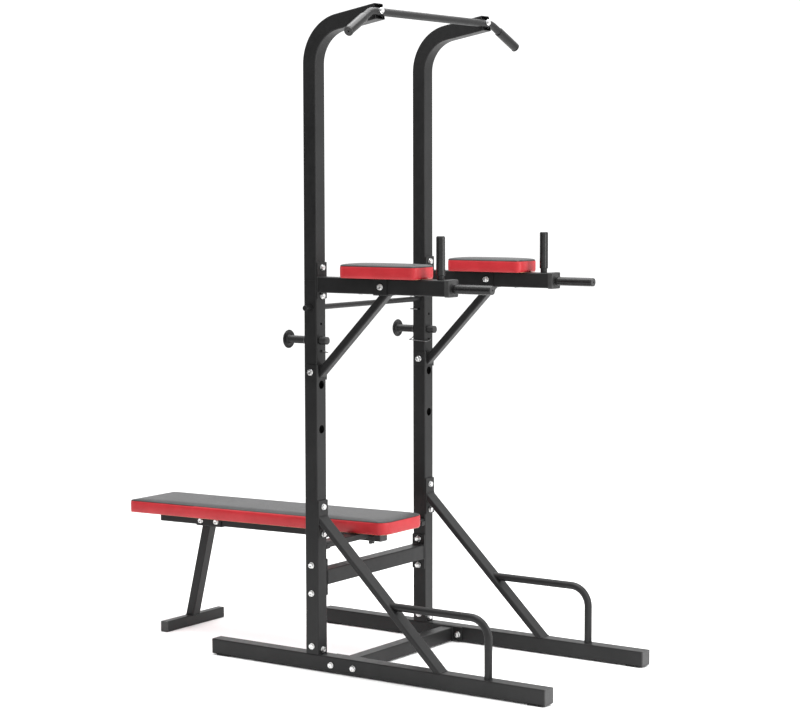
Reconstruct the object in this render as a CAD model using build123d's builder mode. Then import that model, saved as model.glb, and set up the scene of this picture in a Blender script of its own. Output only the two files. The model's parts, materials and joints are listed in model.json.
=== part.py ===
"""Power tower: a free-standing pull-up and dip station with barbell catches and a flat bench.

Millimetres, +Z up. X runs across the two uprights, -Y is the front, where the dip arms reach
forward, and +Y is the rear, where the bench lies. The origin is on the floor, at the middle of
the whole object's plan. Heights are measured from the floor, and the places along Y in this
file are measured from the uprights' centre plane, which the plane functions below stand on.
"""

from math import cos, radians, sin, tan

from build123d import *
import os

os.makedirs("parts", exist_ok=True)

# ---------------------------------------------------------------- driving dimensions
FRONT_REACH = 871.0  # from the uprights' centre plane to the front of the base
REAR_REACH = 974.0  # and to the rear end of the bench pad
UPRIGHT_Y = (FRONT_REACH - REAR_REACH) / 2

TUBE = 50.0  # side of the main square tube
HALF = TUBE / 2
CORNER = 4.0
WALL = 2.0
FIT = 0.3  # gap left round a piece that sits inside another
INSIDE = TUBE - 2 * WALL - 2 * FIT  # side of what slides into the main tube
PLAY = 0.1  # gap in a snug fit
INSERT = 12.0  # how far a cap or a plug goes into its tube

UPRIGHT_X = 309.0  # from the middle to each upright's centre
INNER_X = UPRIGHT_X - HALF
OUTER_X = UPRIGHT_X + HALF
SIDES = {"left": -1, "right": 1}

PAD_FEET = 4.0  # thickness of the rubber feet
PAD_FEET_Y = (-833.0, 372.0)
PAD_FEET_LENGTH = 55.0
PAD_FEET_CORNER = 6.0
BASE_REAR = 417.5
BASE_TOP = PAD_FEET + TUBE
BASE_Z = PAD_FEET + HALF
CAP = 4.0  # thickness of an end cap's flange
CAP_EDGE = 1.0
STUB_HEIGHT = 80.0

SEAM_Z = 1258.0  # where the upper post stands on the lower upright
SLEEVE_HALF = 60.0
SLEEVE_CORNER = 3.0
BEND_RADIUS = 130.0
BEND_ANGLE = 80.0
BEND_START_Z = 1941.5
POST_END = 254.5  # to the middle of the post's square-cut end
SEAM_EDGE = 0.8  # chamfer of the two tube ends that meet at the seam

BAR_DIAMETER = 25.0
BAR_INSET = 4.5  # how far the bar's axis lies inside the post's end
BAR_BEND_X = 347.0
BAR_BEND_RADIUS = 60.0
BAR_DROOP = 27.5
BAR_END_LENGTH = 151.5  # sloped tube outside each bend's corner
BAR_GRIP_START = 48.0
BAR_GRIP_DIAMETER = 30.0
BAR_PLUG_DIAMETER = 28.0
PLUG = 3.0  # thickness of an end plug's flange
PLUG_HOLE = 6.0
SEAT = 4.0  # thickness of the plate behind the bar

PLATE = 5.0
PLATE_CORNER = 3.0
PLATE_EDGE = 0.8  # rounding of a plate's outer edges
ARM_Z = 1246.0
ARM_END = 524.0
ARM_CAP_SIDE = 54.0
ARM_CAP_CORNER = 5.0
ARM_CAP_BORDER = 4.5
ARM_CAP_RECESS = 1.5
ARM_CAP_BOSS = 34.0  # flat disc round the handle, inside the recess
INNER_PLATE_START = 500.0
INNER_PLATE = 4.0
ARM_PLATE_LOW, ARM_PLATE_HIGH = 1200.0, 1317.0
ARM_BOLT_Z = (1209.8, 1299.5)
HANDLE_DIAMETER = 22.0
HANDLE_Z = 1244.0
HANDLE_END = 666.0
FRONT_GRIP_START = 533.0
UPRIGHT_HANDLE_Y = -481.0
UPRIGHT_HANDLE_TOP = 1402.5
UPRIGHT_GRIP_LOW = 1285.0
GRIP_DIAMETER = 28.0
GRIP_TOP = 3.0  # closed top of the upright grip
GRIP_EDGE = 1.5

ARM_PAD_Y = -278.0
ARM_PAD_LENGTH = 294.0
ARM_PAD_WIDTH = 120.0
ARM_PAD_HEIGHT = 44.0
ARM_PAD_CORNER = 20.0
PAD_CROWN = 9.0  # rounding of a pad's upper edge
BOARD = 10.0  # thickness of a pad's plywood board
PAD_WRAP = 6.0  # padding and cover round the edge of a board
ARM_SCREW_Y = (-180.0, -376.0)

BRACKET = 3.0
BRACKET_BEND = 4.0  # outside radius where a bracket's sheet is bent
BRACKET_CORNER = 6.0
UPPER_BRACKET_LENGTH = 52.0
UPPER_BRACKET_REAR = -247.3
LOWER_BRACKET_LOW, LOWER_BRACKET_HIGH = 940.0, 990.0
LOWER_BRACKET_DEPTH = 46.0
BRACE_DEPTH, BRACE_WIDTH = 25.0, 30.0
BRACE_FOOT = (-30.0, 966.7)
BRACE_HEAD = (-267.3, 1207.8)
FAR_END = 300.0  # where a support brace is drawn to before it is trimmed
BRACE_HEAD_BOLT = (-274.0, 1245.0)
BRACE_FOOT_BOLT = (-2.0, 966.0)

FRONT_BRACE_DEPTH, FRONT_BRACE_WIDTH = 19.0, 48.0
FRONT_BRACE_TOP = (-36.5, 496.0)  # on its upper face
FRONT_BRACE_LOW = (-499.5, 47.0)
FRONT_PLATE_LOW, FRONT_PLATE_HIGH = 430.0, 553.5
FRONT_BOLT_Z = (444.0, 532.0)

PUSH_UP_Z = 238.0
PUSH_UP_Y = -655.0
PUSH_UP_BEND = 63.0
PUSH_UP_START = -270.0  # inside the front brace, before it is trimmed to it

CROSSBAR_Z = 298.5
CROSSBAR_PLATE_LOW, CROSSBAR_PLATE_HIGH = 240.0, 359.0
CROSSBAR_BOLT_Z = (251.4, 342.8)
BASE_BAR_SIDE = 45.0
BASE_BAR_Y = -118.5
BASE_BAR_Z = PAD_FEET + BASE_BAR_SIDE / 2
BASE_BAR_BOLT_Y = (-75.0, -162.0)
BASE_BAR_PLATE = 120.0
BASE_BAR_PLATE_HEIGHT = 48.0

FOOT_BOLT_SIDE_Z = 79.0
FOOT_BOLT_FRONT_Z = 67.0
BOLT = 10.0
BOLT_HOLE = 11.0
HEAD_FLATS = 16.0
HEAD_HEIGHT = 5.5
NUT_HEIGHT = 8.0
WASHER_DIAMETER = 20.0
WASHER = 1.5
WASHER_BORE = 10.5
BOLT_TAIL = 3.0  # thread standing out of a nut
SCREW = 6.0
SCREW_FLATS = 10.0
SCREW_HEAD = 4.0

CATCH_Z = 1067.0
CATCH_DIAMETER = 25.0
CATCH_HOLE = 27.0
CATCH_HOLE_Z = (CATCH_Z, 925.0, 782.0)
CATCH_FRONT = 51.0
CATCH_REAR = 102.0
CATCH_DISC_DIAMETER = 60.0
CATCH_DISC = 6.0
CATCH_DISC_EDGE = 2.0
CATCH_PIN_Z = (1033.0, 1120.0)
WIRE = 3.0
PIN_HOLE = 9.0
WIRE_GAP = 0.5  # round a rod, inside the wire's eye
EYE_STANDOFF = 9.0  # from the upright's face to the middle of the eye
WIRE_STANDOFF = 3.5  # from the upright's face to the middle of the wire
TIP_DEPTH = 4.0
CLIP_BOW = 9.0  # how far a catch clip's bow stands off the upright
CLIP_SAG = 7.0  # how far it hangs below its pin hole at the upright's corner

CROSS_ROD_DIAMETER = 18.0
CROSS_ROD_HOLE = 19.0
CROSS_ROD_Z = 1172.0
CROSS_ROD_LEFT = -363.0
CROSS_ROD_RIGHT = 350.0
CROSS_ROD_HEAD = 4.0
CROSS_ROD_HEAD_DIAMETER = 24.0
CROSS_PIN_Z = 1137.0
CROSS_CLIP_BOW = 16.0

BENCH_TILT = 0.86  # the rear end lies this many degrees lower
RAIL = 40.0
RAIL_BOTTOM = 377.5  # under the rail at the uprights' centre plane
RAIL_FRONT, RAIL_REAR = -50.0, 910.0
BENCH_FRONT, BENCH_REAR = -137.0, 973.0
BENCH_WIDTH = 240.0
BENCH_HEIGHT = 46.0
BENCH_BOARD = 12.0
BENCH_FRONT_CORNER, BENCH_REAR_CORNER = 40.0, 15.0
BENCH_SCREW_Y = (120.0, 430.0, 860.0)
LEG_TOP = (700.5, 365.0)
LEG_FOOT = (781.0, 38.0)
LEG_WIDTH = 40.0
LEG_DEPTH = 33.0
LEG_BOLT_Y = (651.0, 721.0)
LEG_BOLT_HEIGHT = 16.0  # above the rail's underside
LEG_BRACKET_LENGTH = 112.0
LEG_BRACKET_HEIGHT = 35.0
FOOT_HEIGHT, FOOT_DEPTH = 38.0, 30.0
FOOT_LENGTH = 312.0
CROSS_TUBE_Y, CROSS_TUBE_Z = -1.0, 403.5
CROSS_TUBE_DEPTH, CROSS_TUBE_HEIGHT = 40.0, 21.0
CROSS_TUBE_HALF_LENGTH = 282.5
CRADLE_LENGTH = 20.0
CRADLE_HEIGHT = 16.0
SPACER_HEIGHT = 10.0
PIVOT_HEAD_DIAMETER, PIVOT_HEAD = 18.0, 4.0
PIVOT_NUT = 6.0


# ---------------------------------------------------------------- planes
def side_plane(x):
    """Upright plane at x: local x runs to the rear from the uprights' centre, local y up."""
    return Plane(origin=(x, UPRIGHT_Y, 0), x_dir=(0, 1, 0), z_dir=(1, 0, 0))


def level_plane(z):
    """Level plane at height z: local x across, local y to the rear from the uprights' centre."""
    return Plane(origin=(0, UPRIGHT_Y, z), x_dir=(1, 0, 0), z_dir=(0, 0, 1))


def cross_plane(y):
    """Upright plane facing the front, y behind the uprights' centre: local x across, y up."""
    return Plane(origin=(0, UPRIGHT_Y + y, 0), x_dir=(1, 0, 0), z_dir=(0, -1, 0))


TILT_SIN, TILT_COS = sin(radians(BENCH_TILT)), cos(radians(BENCH_TILT))


def bench_plane(height):
    """Plane parallel to the tilted bench, at a height above the underside of its rail."""
    flat = Plane(origin=(0, UPRIGHT_Y, RAIL_BOTTOM), x_dir=(1, 0, 0), z_dir=(0, TILT_SIN, TILT_COS))
    return flat.offset(height)


def bench_side_plane(x):
    """Upright plane along the tilted bench: local x along its rail, local y up from it."""
    along = (0, TILT_COS, -TILT_SIN)
    return Plane(origin=(x, UPRIGHT_Y, RAIL_BOTTOM), x_dir=along, z_dir=(1, 0, 0))


def bench_cross_plane(y):
    """Plane square to the bench's rail, facing the front, y along the rail."""
    origin = (0, UPRIGHT_Y + y * TILT_COS, RAIL_BOTTOM - y * TILT_SIN)
    return Plane(origin=origin, x_dir=(1, 0, 0), z_dir=(0, -TILT_COS, TILT_SIN))


def point_at(x, y, z):
    """Row-frame point for a y measured from the uprights' centre plane."""
    return (x, UPRIGHT_Y + y, z)


# ---------------------------------------------------------------- shared features
def tube_profile(width, height, wall=WALL, corner=CORNER):
    """Draws a rectangular tube's section in the current sketch."""
    RectangleRounded(width, height, corner)
    RectangleRounded(width - 2 * wall, height - 2 * wall, corner - wall, mode=Mode.SUBTRACT)


def ring_profile(outer, inner):
    """Draws a round tube's section, by diameters, in the current sketch."""
    Circle(outer / 2)
    Circle(inner / 2, mode=Mode.SUBTRACT)


def drill(plane, points, diameter, reach=40.0):
    """Cuts round holes in the current part, square to the plane, reaching both ways from it."""
    with BuildSketch(plane) as holes:
        with Locations(*points):
            Circle(diameter / 2)
    extrude(holes.sketch, amount=reach, both=True, mode=Mode.SUBTRACT)


def add_rods(plane, points, diameter, start, end, bore=0.0):
    """Adds round rods, or tubes where there is a bore, between two offsets from a plane."""
    with BuildSketch(plane.offset(min(start, end))) as ends:
        with Locations(*points):
            Circle(diameter / 2)
            if bore:
                Circle(bore / 2, mode=Mode.SUBTRACT)
    extrude(ends.sketch, amount=abs(end - start))


def add_hexes(plane, points, flats, start, end, bore=0.0):
    """Adds hexagonal heads or nuts between two offsets from a plane."""
    with BuildSketch(plane.offset(min(start, end))) as ends:
        with Locations(*points):
            RegularPolygon(flats / 2, 6, major_radius=False)
            if bore:
                Circle(bore / 2, mode=Mode.SUBTRACT)
    extrude(ends.sketch, amount=abs(end - start))


def add_bolts(plane, points, near, far, diameter=BOLT, flats=HEAD_FLATS):
    """Adds hex bolts that clamp from one offset to another, with their heads at the near one."""
    way = 1 if far > near else -1
    seat = near - way * WASHER
    add_hexes(plane, points, flats, seat, seat - way * HEAD_HEIGHT)
    add_rods(plane, points, diameter, seat, far + way * (WASHER + NUT_HEIGHT + BOLT_TAIL))


def add_washers(plane, points, near, far):
    """Adds the two washers of each such bolt."""
    way = 1 if far > near else -1
    add_rods(plane, points, WASHER_DIAMETER, near - way * WASHER, near, WASHER_BORE)
    add_rods(plane, points, WASHER_DIAMETER, far, far + way * WASHER, WASHER_BORE)


def add_nuts(plane, points, near, far):
    """Adds the nut of each such bolt."""
    way = 1 if far > near else -1
    seat = far + way * WASHER
    add_hexes(plane, points, HEAD_FLATS, seat, seat + way * NUT_HEIGHT, BOLT + PLAY)


def add_wire(start, points, radii):
    """Adds a bent wire along straight runs joined by arcs, starting square to its first run."""
    with BuildLine() as route:
        FilletPolyline(start, *points, radius=radii)
    path = route.wire()
    with BuildSketch(Plane(origin=path @ 0, z_dir=path % 0)) as section:
        Circle(WIRE / 2)
    sweep(section.sketch, path=path)


def save(piece, label):
    """Labels a finished piece and writes it."""
    piece.part.label = label
    export_step(piece.part, f"parts/{label}.step")


# ---------------------------------------------------------------- base
for side, sign in SIDES.items():
    with BuildPart() as base_tube:
        with BuildSketch(cross_plane(BASE_REAR - CAP)):
            with Locations((sign * UPRIGHT_X, BASE_Z)):
                tube_profile(TUBE, TUBE)
        extrude(amount=BASE_REAR + FRONT_REACH - 2 * CAP)
        drill(side_plane(sign * UPRIGHT_X), [(y, BASE_BAR_Z) for y in BASE_BAR_BOLT_Y], BOLT_HOLE)
    save(base_tube, f"base_tube_{side}")

with BuildPart() as base_end_caps:
    for sign in SIDES.values():
        front_cap_y = CAP - FRONT_REACH
        for flange_y, insert_y in ((BASE_REAR, BASE_REAR - CAP), (front_cap_y, front_cap_y + INSERT)):
            with BuildSketch(cross_plane(flange_y)) as flange:
                with Locations((sign * UPRIGHT_X, BASE_Z)):
                    RectangleRounded(TUBE, TUBE, CORNER)
            extrude(flange.sketch, amount=CAP)
            with BuildSketch(cross_plane(insert_y)) as insert:
                with Locations((sign * UPRIGHT_X, BASE_Z)):
                    tube_profile(INSIDE, INSIDE)
            extrude(insert.sketch, amount=INSERT)
    outer_faces = base_end_caps.faces().filter_by(Axis.Y).group_by(Axis.Y)
    chamfer(outer_faces[0].edges() + outer_faces[-1].edges(), CAP_EDGE)
save(base_end_caps, "base_end_caps")

with BuildPart() as base_foot_pads:
    with BuildSketch(level_plane(0)):
        with Locations(*[(sign * UPRIGHT_X, y) for sign in SIDES.values() for y in PAD_FEET_Y]):
            RectangleRounded(TUBE, PAD_FEET_LENGTH, PAD_FEET_CORNER)
    extrude(amount=PAD_FEET)
save(base_foot_pads, "base_foot_pads")

with BuildPart() as upright_stubs:
    with BuildSketch(level_plane(BASE_TOP)):
        with Locations(*[(sign * UPRIGHT_X, 0) for sign in SIDES.values()]):
            tube_profile(INSIDE, INSIDE, corner=SLEEVE_CORNER)
    extrude(amount=STUB_HEIGHT)
    drill(side_plane(0), [(0, FOOT_BOLT_SIDE_Z)], BOLT_HOLE, OUTER_X)
    drill(cross_plane(0), [(sign * UPRIGHT_X, FOOT_BOLT_FRONT_Z) for sign in SIDES.values()], BOLT_HOLE)
save(upright_stubs, "upright_stubs")

with BuildPart() as base_crossbar:
    with BuildSketch(side_plane(PLATE - INNER_X)):
        with Locations((BASE_BAR_Y, BASE_BAR_Z)):
            tube_profile(BASE_BAR_SIDE, BASE_BAR_SIDE)
    extrude(amount=2 * (INNER_X - PLATE))
save(base_crossbar, "base_crossbar")

with BuildPart() as lower_crossbar:
    with BuildSketch(side_plane(PLATE - INNER_X)):
        with Locations((0, CROSSBAR_Z)):
            tube_profile(TUBE, TUBE)
    extrude(amount=2 * (INNER_X - PLATE))
save(lower_crossbar, "lower_crossbar")

with BuildPart() as crossbar_end_plates:
    for sign in SIDES.values():
        plate_middle = (CROSSBAR_PLATE_LOW + CROSSBAR_PLATE_HIGH) / 2
        with BuildSketch(side_plane(sign * INNER_X)) as plates:
            with Locations((0, plate_middle)):
                RectangleRounded(TUBE, CROSSBAR_PLATE_HIGH - CROSSBAR_PLATE_LOW, PLATE_CORNER)
            with Locations((BASE_BAR_Y, BASE_Z)):
                RectangleRounded(BASE_BAR_PLATE, BASE_BAR_PLATE_HEIGHT, PLATE_CORNER)
            with Locations(*[(0, z) for z in CROSSBAR_BOLT_Z], *[(y, BASE_BAR_Z) for y in BASE_BAR_BOLT_Y]):
                Circle(BOLT_HOLE / 2, mode=Mode.SUBTRACT)
        extrude(plates.sketch, amount=-sign * PLATE)
    side_faces = crossbar_end_plates.faces().filter_by(Axis.X)
    open_faces = side_faces.group_by(lambda f: round(abs(f.center().X), 1))
    fillet([f.outer_wire().edges() for f in open_faces[0]], PLATE_EDGE)
save(crossbar_end_plates, "crossbar_end_plates")

# ---------------------------------------------------------------- uprights and upper posts
for side, sign in SIDES.items():
    x = sign * UPRIGHT_X
    with BuildPart() as lower_upright:
        with BuildSketch(level_plane(BASE_TOP)):
            with Locations((x, 0)):
                tube_profile(TUBE, TUBE)
        extrude(amount=SEAM_Z - BASE_TOP)
        side_bolts = [(0, FOOT_BOLT_SIDE_Z), BRACE_FOOT_BOLT, *[(0, z) for z in CROSSBAR_BOLT_Z]]
        drill(side_plane(x), side_bolts, BOLT_HOLE)
        drill(side_plane(x), [(0, CROSS_ROD_Z)], CROSS_ROD_HOLE)
        front_bolts = [(x, z) for z in (FOOT_BOLT_FRONT_Z, *FRONT_BOLT_Z, ARM_BOLT_Z[0])]
        drill(cross_plane(0), front_bolts, BOLT_HOLE)
        drill(cross_plane(0), [(x, z) for z in CATCH_HOLE_Z], CATCH_HOLE)
        drill(cross_plane(-HALF), [(x, z) for z in CATCH_PIN_Z], PIN_HOLE, 10)
        if side == "right":
            drill(side_plane(INNER_X), [(0, CROSS_PIN_Z)], PIN_HOLE, 10)
        top_face = lower_upright.faces().sort_by(Axis.Z)[-1]
        chamfer(top_face.outer_wire().edges(), SEAM_EDGE)
    save(lower_upright, f"lower_upright_{side}")

with BuildPart() as upright_joint_sleeves:
    with BuildSketch(level_plane(SEAM_Z - SLEEVE_HALF)):
        with Locations(*[(sign * UPRIGHT_X, 0) for sign in SIDES.values()]):
            tube_profile(INSIDE, INSIDE, corner=SLEEVE_CORNER)
    extrude(amount=2 * SLEEVE_HALF)
    sleeve_holes = [(sign * UPRIGHT_X, z) for sign in SIDES.values() for z in ARM_BOLT_Z]
    drill(cross_plane(0), sleeve_holes, BOLT_HOLE)
save(upright_joint_sleeves, "upright_joint_sleeves")

POST_RISE = 90 - BEND_ANGLE  # degrees that the post's top climbs to the front
post_corner_z = BEND_START_Z + BEND_RADIUS * tan(radians(BEND_ANGLE / 2))
post_end_z = post_corner_z + POST_END * tan(radians(POST_RISE))
RISE_SIN, RISE_COS = sin(radians(POST_RISE)), cos(radians(POST_RISE))


def post_end_plane(offset):
    """Plane square to the post's top, facing out of its end: local x across, local y up it."""
    y = -POST_END - offset * RISE_COS
    z = post_end_z + offset * RISE_SIN
    return Plane(origin=point_at(0, y, z), x_dir=(1, 0, 0), z_dir=(0, -RISE_COS, RISE_SIN))


bar_plane = post_end_plane(-BAR_INSET)
post_ends = [(sign * UPRIGHT_X, 0) for sign in SIDES.values()]
bar_axis_side = Plane(origin=bar_plane.origin, x_dir=(0, -RISE_COS, RISE_SIN), z_dir=(-1, 0, 0))
for side, sign in SIDES.items():
    x = sign * UPRIGHT_X
    with BuildPart() as upper_post:
        with BuildLine(side_plane(x)) as route:
            FilletPolyline(
                (0, SEAM_Z), (0, post_corner_z), (-POST_END, post_end_z), radius=BEND_RADIUS
            )
        with BuildSketch(level_plane(SEAM_Z)) as section:
            with Locations((x, 0)):
                tube_profile(TUBE, TUBE)
        sweep(section.sketch, path=route.wire())
        with BuildSketch(bar_axis_side) as notch:
            Circle(BAR_DIAMETER / 2 + FIT)
            Rectangle(TUBE, BAR_DIAMETER + 2 * FIT, align=(Align.MIN, Align.CENTER))
        extrude(notch.sketch, amount=OUTER_X + FIT, both=True, mode=Mode.SUBTRACT)
        drill(cross_plane(0), [(x, ARM_BOLT_Z[1])], BOLT_HOLE)
        bottom_face = upper_post.faces().sort_by(Axis.Z)[0]
        chamfer(bottom_face.outer_wire().edges(), SEAM_EDGE)
    save(upper_post, f"upper_post_{side}")

# ---------------------------------------------------------------- pull-up bar
seat_front = -BAR_DIAMETER / 2 - PLAY
with BuildPart() as bar_seats:
    with BuildSketch(bar_plane.offset(seat_front)) as seat_plates:
        with Locations(*post_ends):
            RectangleRounded(INSIDE, INSIDE, SLEEVE_CORNER)
            Circle(BOLT_HOLE / 2, mode=Mode.SUBTRACT)
    extrude(seat_plates.sketch, amount=-SEAT)
save(bar_seats, "bar_seats")


def bar_end_plane(sign, length):
    """Plane square to the bar's sloped end, at a length outside the bend's corner, facing out."""
    droop = radians(BAR_DROOP)
    way = (sign * cos(droop), -sin(droop) * RISE_SIN, -sin(droop) * RISE_COS)
    corner = (sign * BAR_BEND_X, bar_plane.origin.Y, bar_plane.origin.Z)
    origin = tuple(c + length * w for c, w in zip(corner, way))
    return Plane(origin=origin, x_dir=(0, RISE_COS, -RISE_SIN), z_dir=way)


with BuildPart() as pull_up_bar:
    bar_end_x = BAR_BEND_X + BAR_END_LENGTH * cos(radians(BAR_DROOP))
    bar_end_drop = BAR_END_LENGTH * sin(radians(BAR_DROOP))
    with BuildLine(bar_plane) as bar_route:
        FilletPolyline(
            (-bar_end_x, -bar_end_drop),
            (-BAR_BEND_X, 0),
            (BAR_BEND_X, 0),
            (bar_end_x, -bar_end_drop),
            radius=BAR_BEND_RADIUS,
        )
    bar_path = bar_route.wire()
    with BuildSketch(Plane(origin=bar_path @ 0, z_dir=bar_path % 0)) as bar_section:
        ring_profile(BAR_DIAMETER, BAR_DIAMETER - 2 * WALL)
    sweep(bar_section.sketch, path=bar_path)
    drill(bar_plane, post_ends, BOLT_HOLE, BAR_DIAMETER)
save(pull_up_bar, "pull_up_bar")

with BuildPart() as pull_up_grips:
    for sign in SIDES.values():
        with BuildSketch(bar_end_plane(sign, BAR_GRIP_START)) as grip_section:
            ring_profile(BAR_GRIP_DIAMETER, BAR_DIAMETER + PLAY)
        extrude(grip_section.sketch, amount=BAR_END_LENGTH - BAR_GRIP_START)
    rims = pull_up_grips.edges().filter_by(GeomType.CIRCLE)
    outer_rims = rims.group_by(lambda e: round(e.radius, 1))[-1]
    fillet(outer_rims, GRIP_EDGE)
save(pull_up_grips, "pull_up_grips")

with BuildPart() as pull_up_end_plugs:
    for sign in SIDES.values():
        with BuildSketch(bar_end_plane(sign, BAR_END_LENGTH)) as plug_face:
            ring_profile(BAR_PLUG_DIAMETER, PLUG_HOLE)
        extrude(plug_face.sketch, amount=PLUG)
        with BuildSketch(bar_end_plane(sign, BAR_END_LENGTH - INSERT)) as plug_insert:
            ring_profile(BAR_DIAMETER - 2 * WALL - FIT, PLUG_HOLE)
        extrude(plug_insert.sketch, amount=INSERT)
save(pull_up_end_plugs, "pull_up_end_plugs")

# ---------------------------------------------------------------- dip arms
for side, sign in SIDES.items():
    x = sign * UPRIGHT_X
    with BuildPart() as dip_arm:
        with BuildSketch(cross_plane(-HALF - PLATE)):
            with Locations((x, ARM_Z)):
                tube_profile(TUBE, TUBE)
        extrude(amount=ARM_END - HALF - PLATE)
        drill(side_plane(x), [BRACE_HEAD_BOLT], BOLT_HOLE)
        drill(level_plane(ARM_Z + HALF), [(x, UPRIGHT_HANDLE_Y)], HANDLE_DIAMETER + 2 * FIT, 10)
        drill(level_plane(ARM_Z), [(x, y) for y in ARM_SCREW_Y], SCREW + 1)
    save(dip_arm, f"dip_arm_{side}")

with BuildPart() as dip_arm_plates:
    with BuildSketch(cross_plane(-HALF)):
        for sign in SIDES.values():
            with Locations((sign * UPRIGHT_X, (ARM_PLATE_LOW + ARM_PLATE_HIGH) / 2)):
                RectangleRounded(TUBE, ARM_PLATE_HIGH - ARM_PLATE_LOW, PLATE_CORNER)
            with Locations(*[(sign * UPRIGHT_X, z) for z in ARM_BOLT_Z]):
                Circle(BOLT_HOLE / 2, mode=Mode.SUBTRACT)
    extrude(amount=PLATE)
    front_faces = dip_arm_plates.faces().filter_by(Axis.Y).group_by(Axis.Y)[0]
    fillet([f.outer_wire().edges() for f in front_faces], PLATE_EDGE)
save(dip_arm_plates, "dip_arm_plates")

with BuildPart() as dip_arm_inner_plates:
    with BuildSketch(cross_plane(-INNER_PLATE_START - INNER_PLATE)):
        with Locations(*[(sign * UPRIGHT_X, ARM_Z) for sign in SIDES.values()]):
            RectangleRounded(TUBE - 2 * WALL - FIT, TUBE - 2 * WALL - FIT, CORNER - WALL)
        with Locations(*[(sign * UPRIGHT_X, HANDLE_Z) for sign in SIDES.values()]):
            Circle(HANDLE_DIAMETER / 2 + PLAY, mode=Mode.SUBTRACT)
    extrude(amount=INNER_PLATE)
save(dip_arm_inner_plates, "dip_arm_inner_plates")

with BuildPart() as dip_arm_end_caps:
    for sign in SIDES.values():
        x = sign * UPRIGHT_X
        with BuildSketch(cross_plane(INSERT - ARM_END)) as cap_skirt:
            with Locations((x, ARM_Z)):
                RectangleRounded(ARM_CAP_SIDE, ARM_CAP_SIDE, ARM_CAP_CORNER)
        extrude(cap_skirt.sketch, amount=INSERT + CAP)
        with BuildSketch(cross_plane(INSERT - ARM_END)) as cap_hollow:
            with Locations((x, ARM_Z)):
                RectangleRounded(TUBE + 2 * PLAY, TUBE + 2 * PLAY, CORNER)
        extrude(cap_hollow.sketch, amount=INSERT, mode=Mode.SUBTRACT)
    front_faces = dip_arm_end_caps.faces().filter_by(Axis.Y).group_by(Axis.Y)[0]
    fillet([f.outer_wire().edges() for f in front_faces], CAP_EDGE)
    recess_side = ARM_CAP_SIDE - 2 * ARM_CAP_BORDER
    for sign in SIDES.values():
        x = sign * UPRIGHT_X
        with BuildSketch(cross_plane(-ARM_END - CAP)) as cap_recess:
            with Locations((x, ARM_Z)):
                RectangleRounded(recess_side, recess_side, CORNER)
            with Locations((x, HANDLE_Z)):
                Circle(ARM_CAP_BOSS / 2, mode=Mode.SUBTRACT)
        extrude(cap_recess.sketch, amount=-ARM_CAP_RECESS, mode=Mode.SUBTRACT)
        drill(cross_plane(-ARM_END - CAP), [(x, HANDLE_Z)], HANDLE_DIAMETER + 2 * FIT, INSERT / 2)
save(dip_arm_end_caps, "dip_arm_end_caps")

handle_x = [(sign * UPRIGHT_X, HANDLE_Z) for sign in SIDES.values()]
post_xy = [(sign * UPRIGHT_X, UPRIGHT_HANDLE_Y) for sign in SIDES.values()]
handle_bore = HANDLE_DIAMETER - 2 * WALL
with BuildPart() as dip_handle_tubes:
    add_rods(cross_plane(0), handle_x, HANDLE_DIAMETER, INNER_PLATE_START - 1, HANDLE_END, handle_bore)
    arm_floor = ARM_Z - HALF + WALL
    add_rods(level_plane(0), post_xy, HANDLE_DIAMETER, arm_floor, UPRIGHT_HANDLE_TOP, handle_bore)
save(dip_handle_tubes, "dip_handle_tubes")

with BuildPart() as dip_handle_grips:
    grip_bore = HANDLE_DIAMETER + PLAY
    add_rods(cross_plane(0), handle_x, GRIP_DIAMETER, FRONT_GRIP_START, HANDLE_END, grip_bore)
    add_rods(level_plane(0), post_xy, GRIP_DIAMETER, UPRIGHT_GRIP_LOW, UPRIGHT_HANDLE_TOP, grip_bore)
    add_rods(level_plane(0), post_xy, GRIP_DIAMETER, UPRIGHT_HANDLE_TOP, UPRIGHT_HANDLE_TOP + GRIP_TOP)
    rims = dip_handle_grips.edges().filter_by(GeomType.CIRCLE)
    outer_rims = rims.group_by(lambda e: round(e.radius, 1))[-1]
    fillet(outer_rims, GRIP_EDGE)
save(dip_handle_grips, "dip_handle_grips")

with BuildPart() as handle_end_plugs:
    add_rods(cross_plane(0), handle_x, GRIP_DIAMETER - 1, HANDLE_END, HANDLE_END + PLUG)
    add_rods(cross_plane(0), handle_x, handle_bore - FIT, HANDLE_END - INSERT, HANDLE_END)
    drill(cross_plane(-HANDLE_END - PLUG), handle_x, PLUG_HOLE, PLUG + 1)
save(handle_end_plugs, "handle_end_plugs")

# ---------------------------------------------------------------- arm pads
arm_top = ARM_Z + HALF
for side, sign in SIDES.items():
    pad_spot = (sign * UPRIGHT_X, ARM_PAD_Y)
    with BuildPart() as arm_pad:
        with BuildSketch(level_plane(arm_top)):
            with Locations(pad_spot):
                RectangleRounded(ARM_PAD_WIDTH, ARM_PAD_LENGTH, ARM_PAD_CORNER)
        extrude(amount=ARM_PAD_HEIGHT)
        fillet(arm_pad.faces().sort_by(Axis.Z)[-1].edges(), PAD_CROWN)
        with BuildSketch(level_plane(arm_top)):
            with Locations(pad_spot):
                board_corner = ARM_PAD_CORNER - PAD_WRAP
                RectangleRounded(ARM_PAD_WIDTH - 2 * PAD_WRAP, ARM_PAD_LENGTH - 2 * PAD_WRAP, board_corner)
        extrude(amount=BOARD + FIT, mode=Mode.SUBTRACT)
    save(arm_pad, f"arm_pad_{side}")

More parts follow.
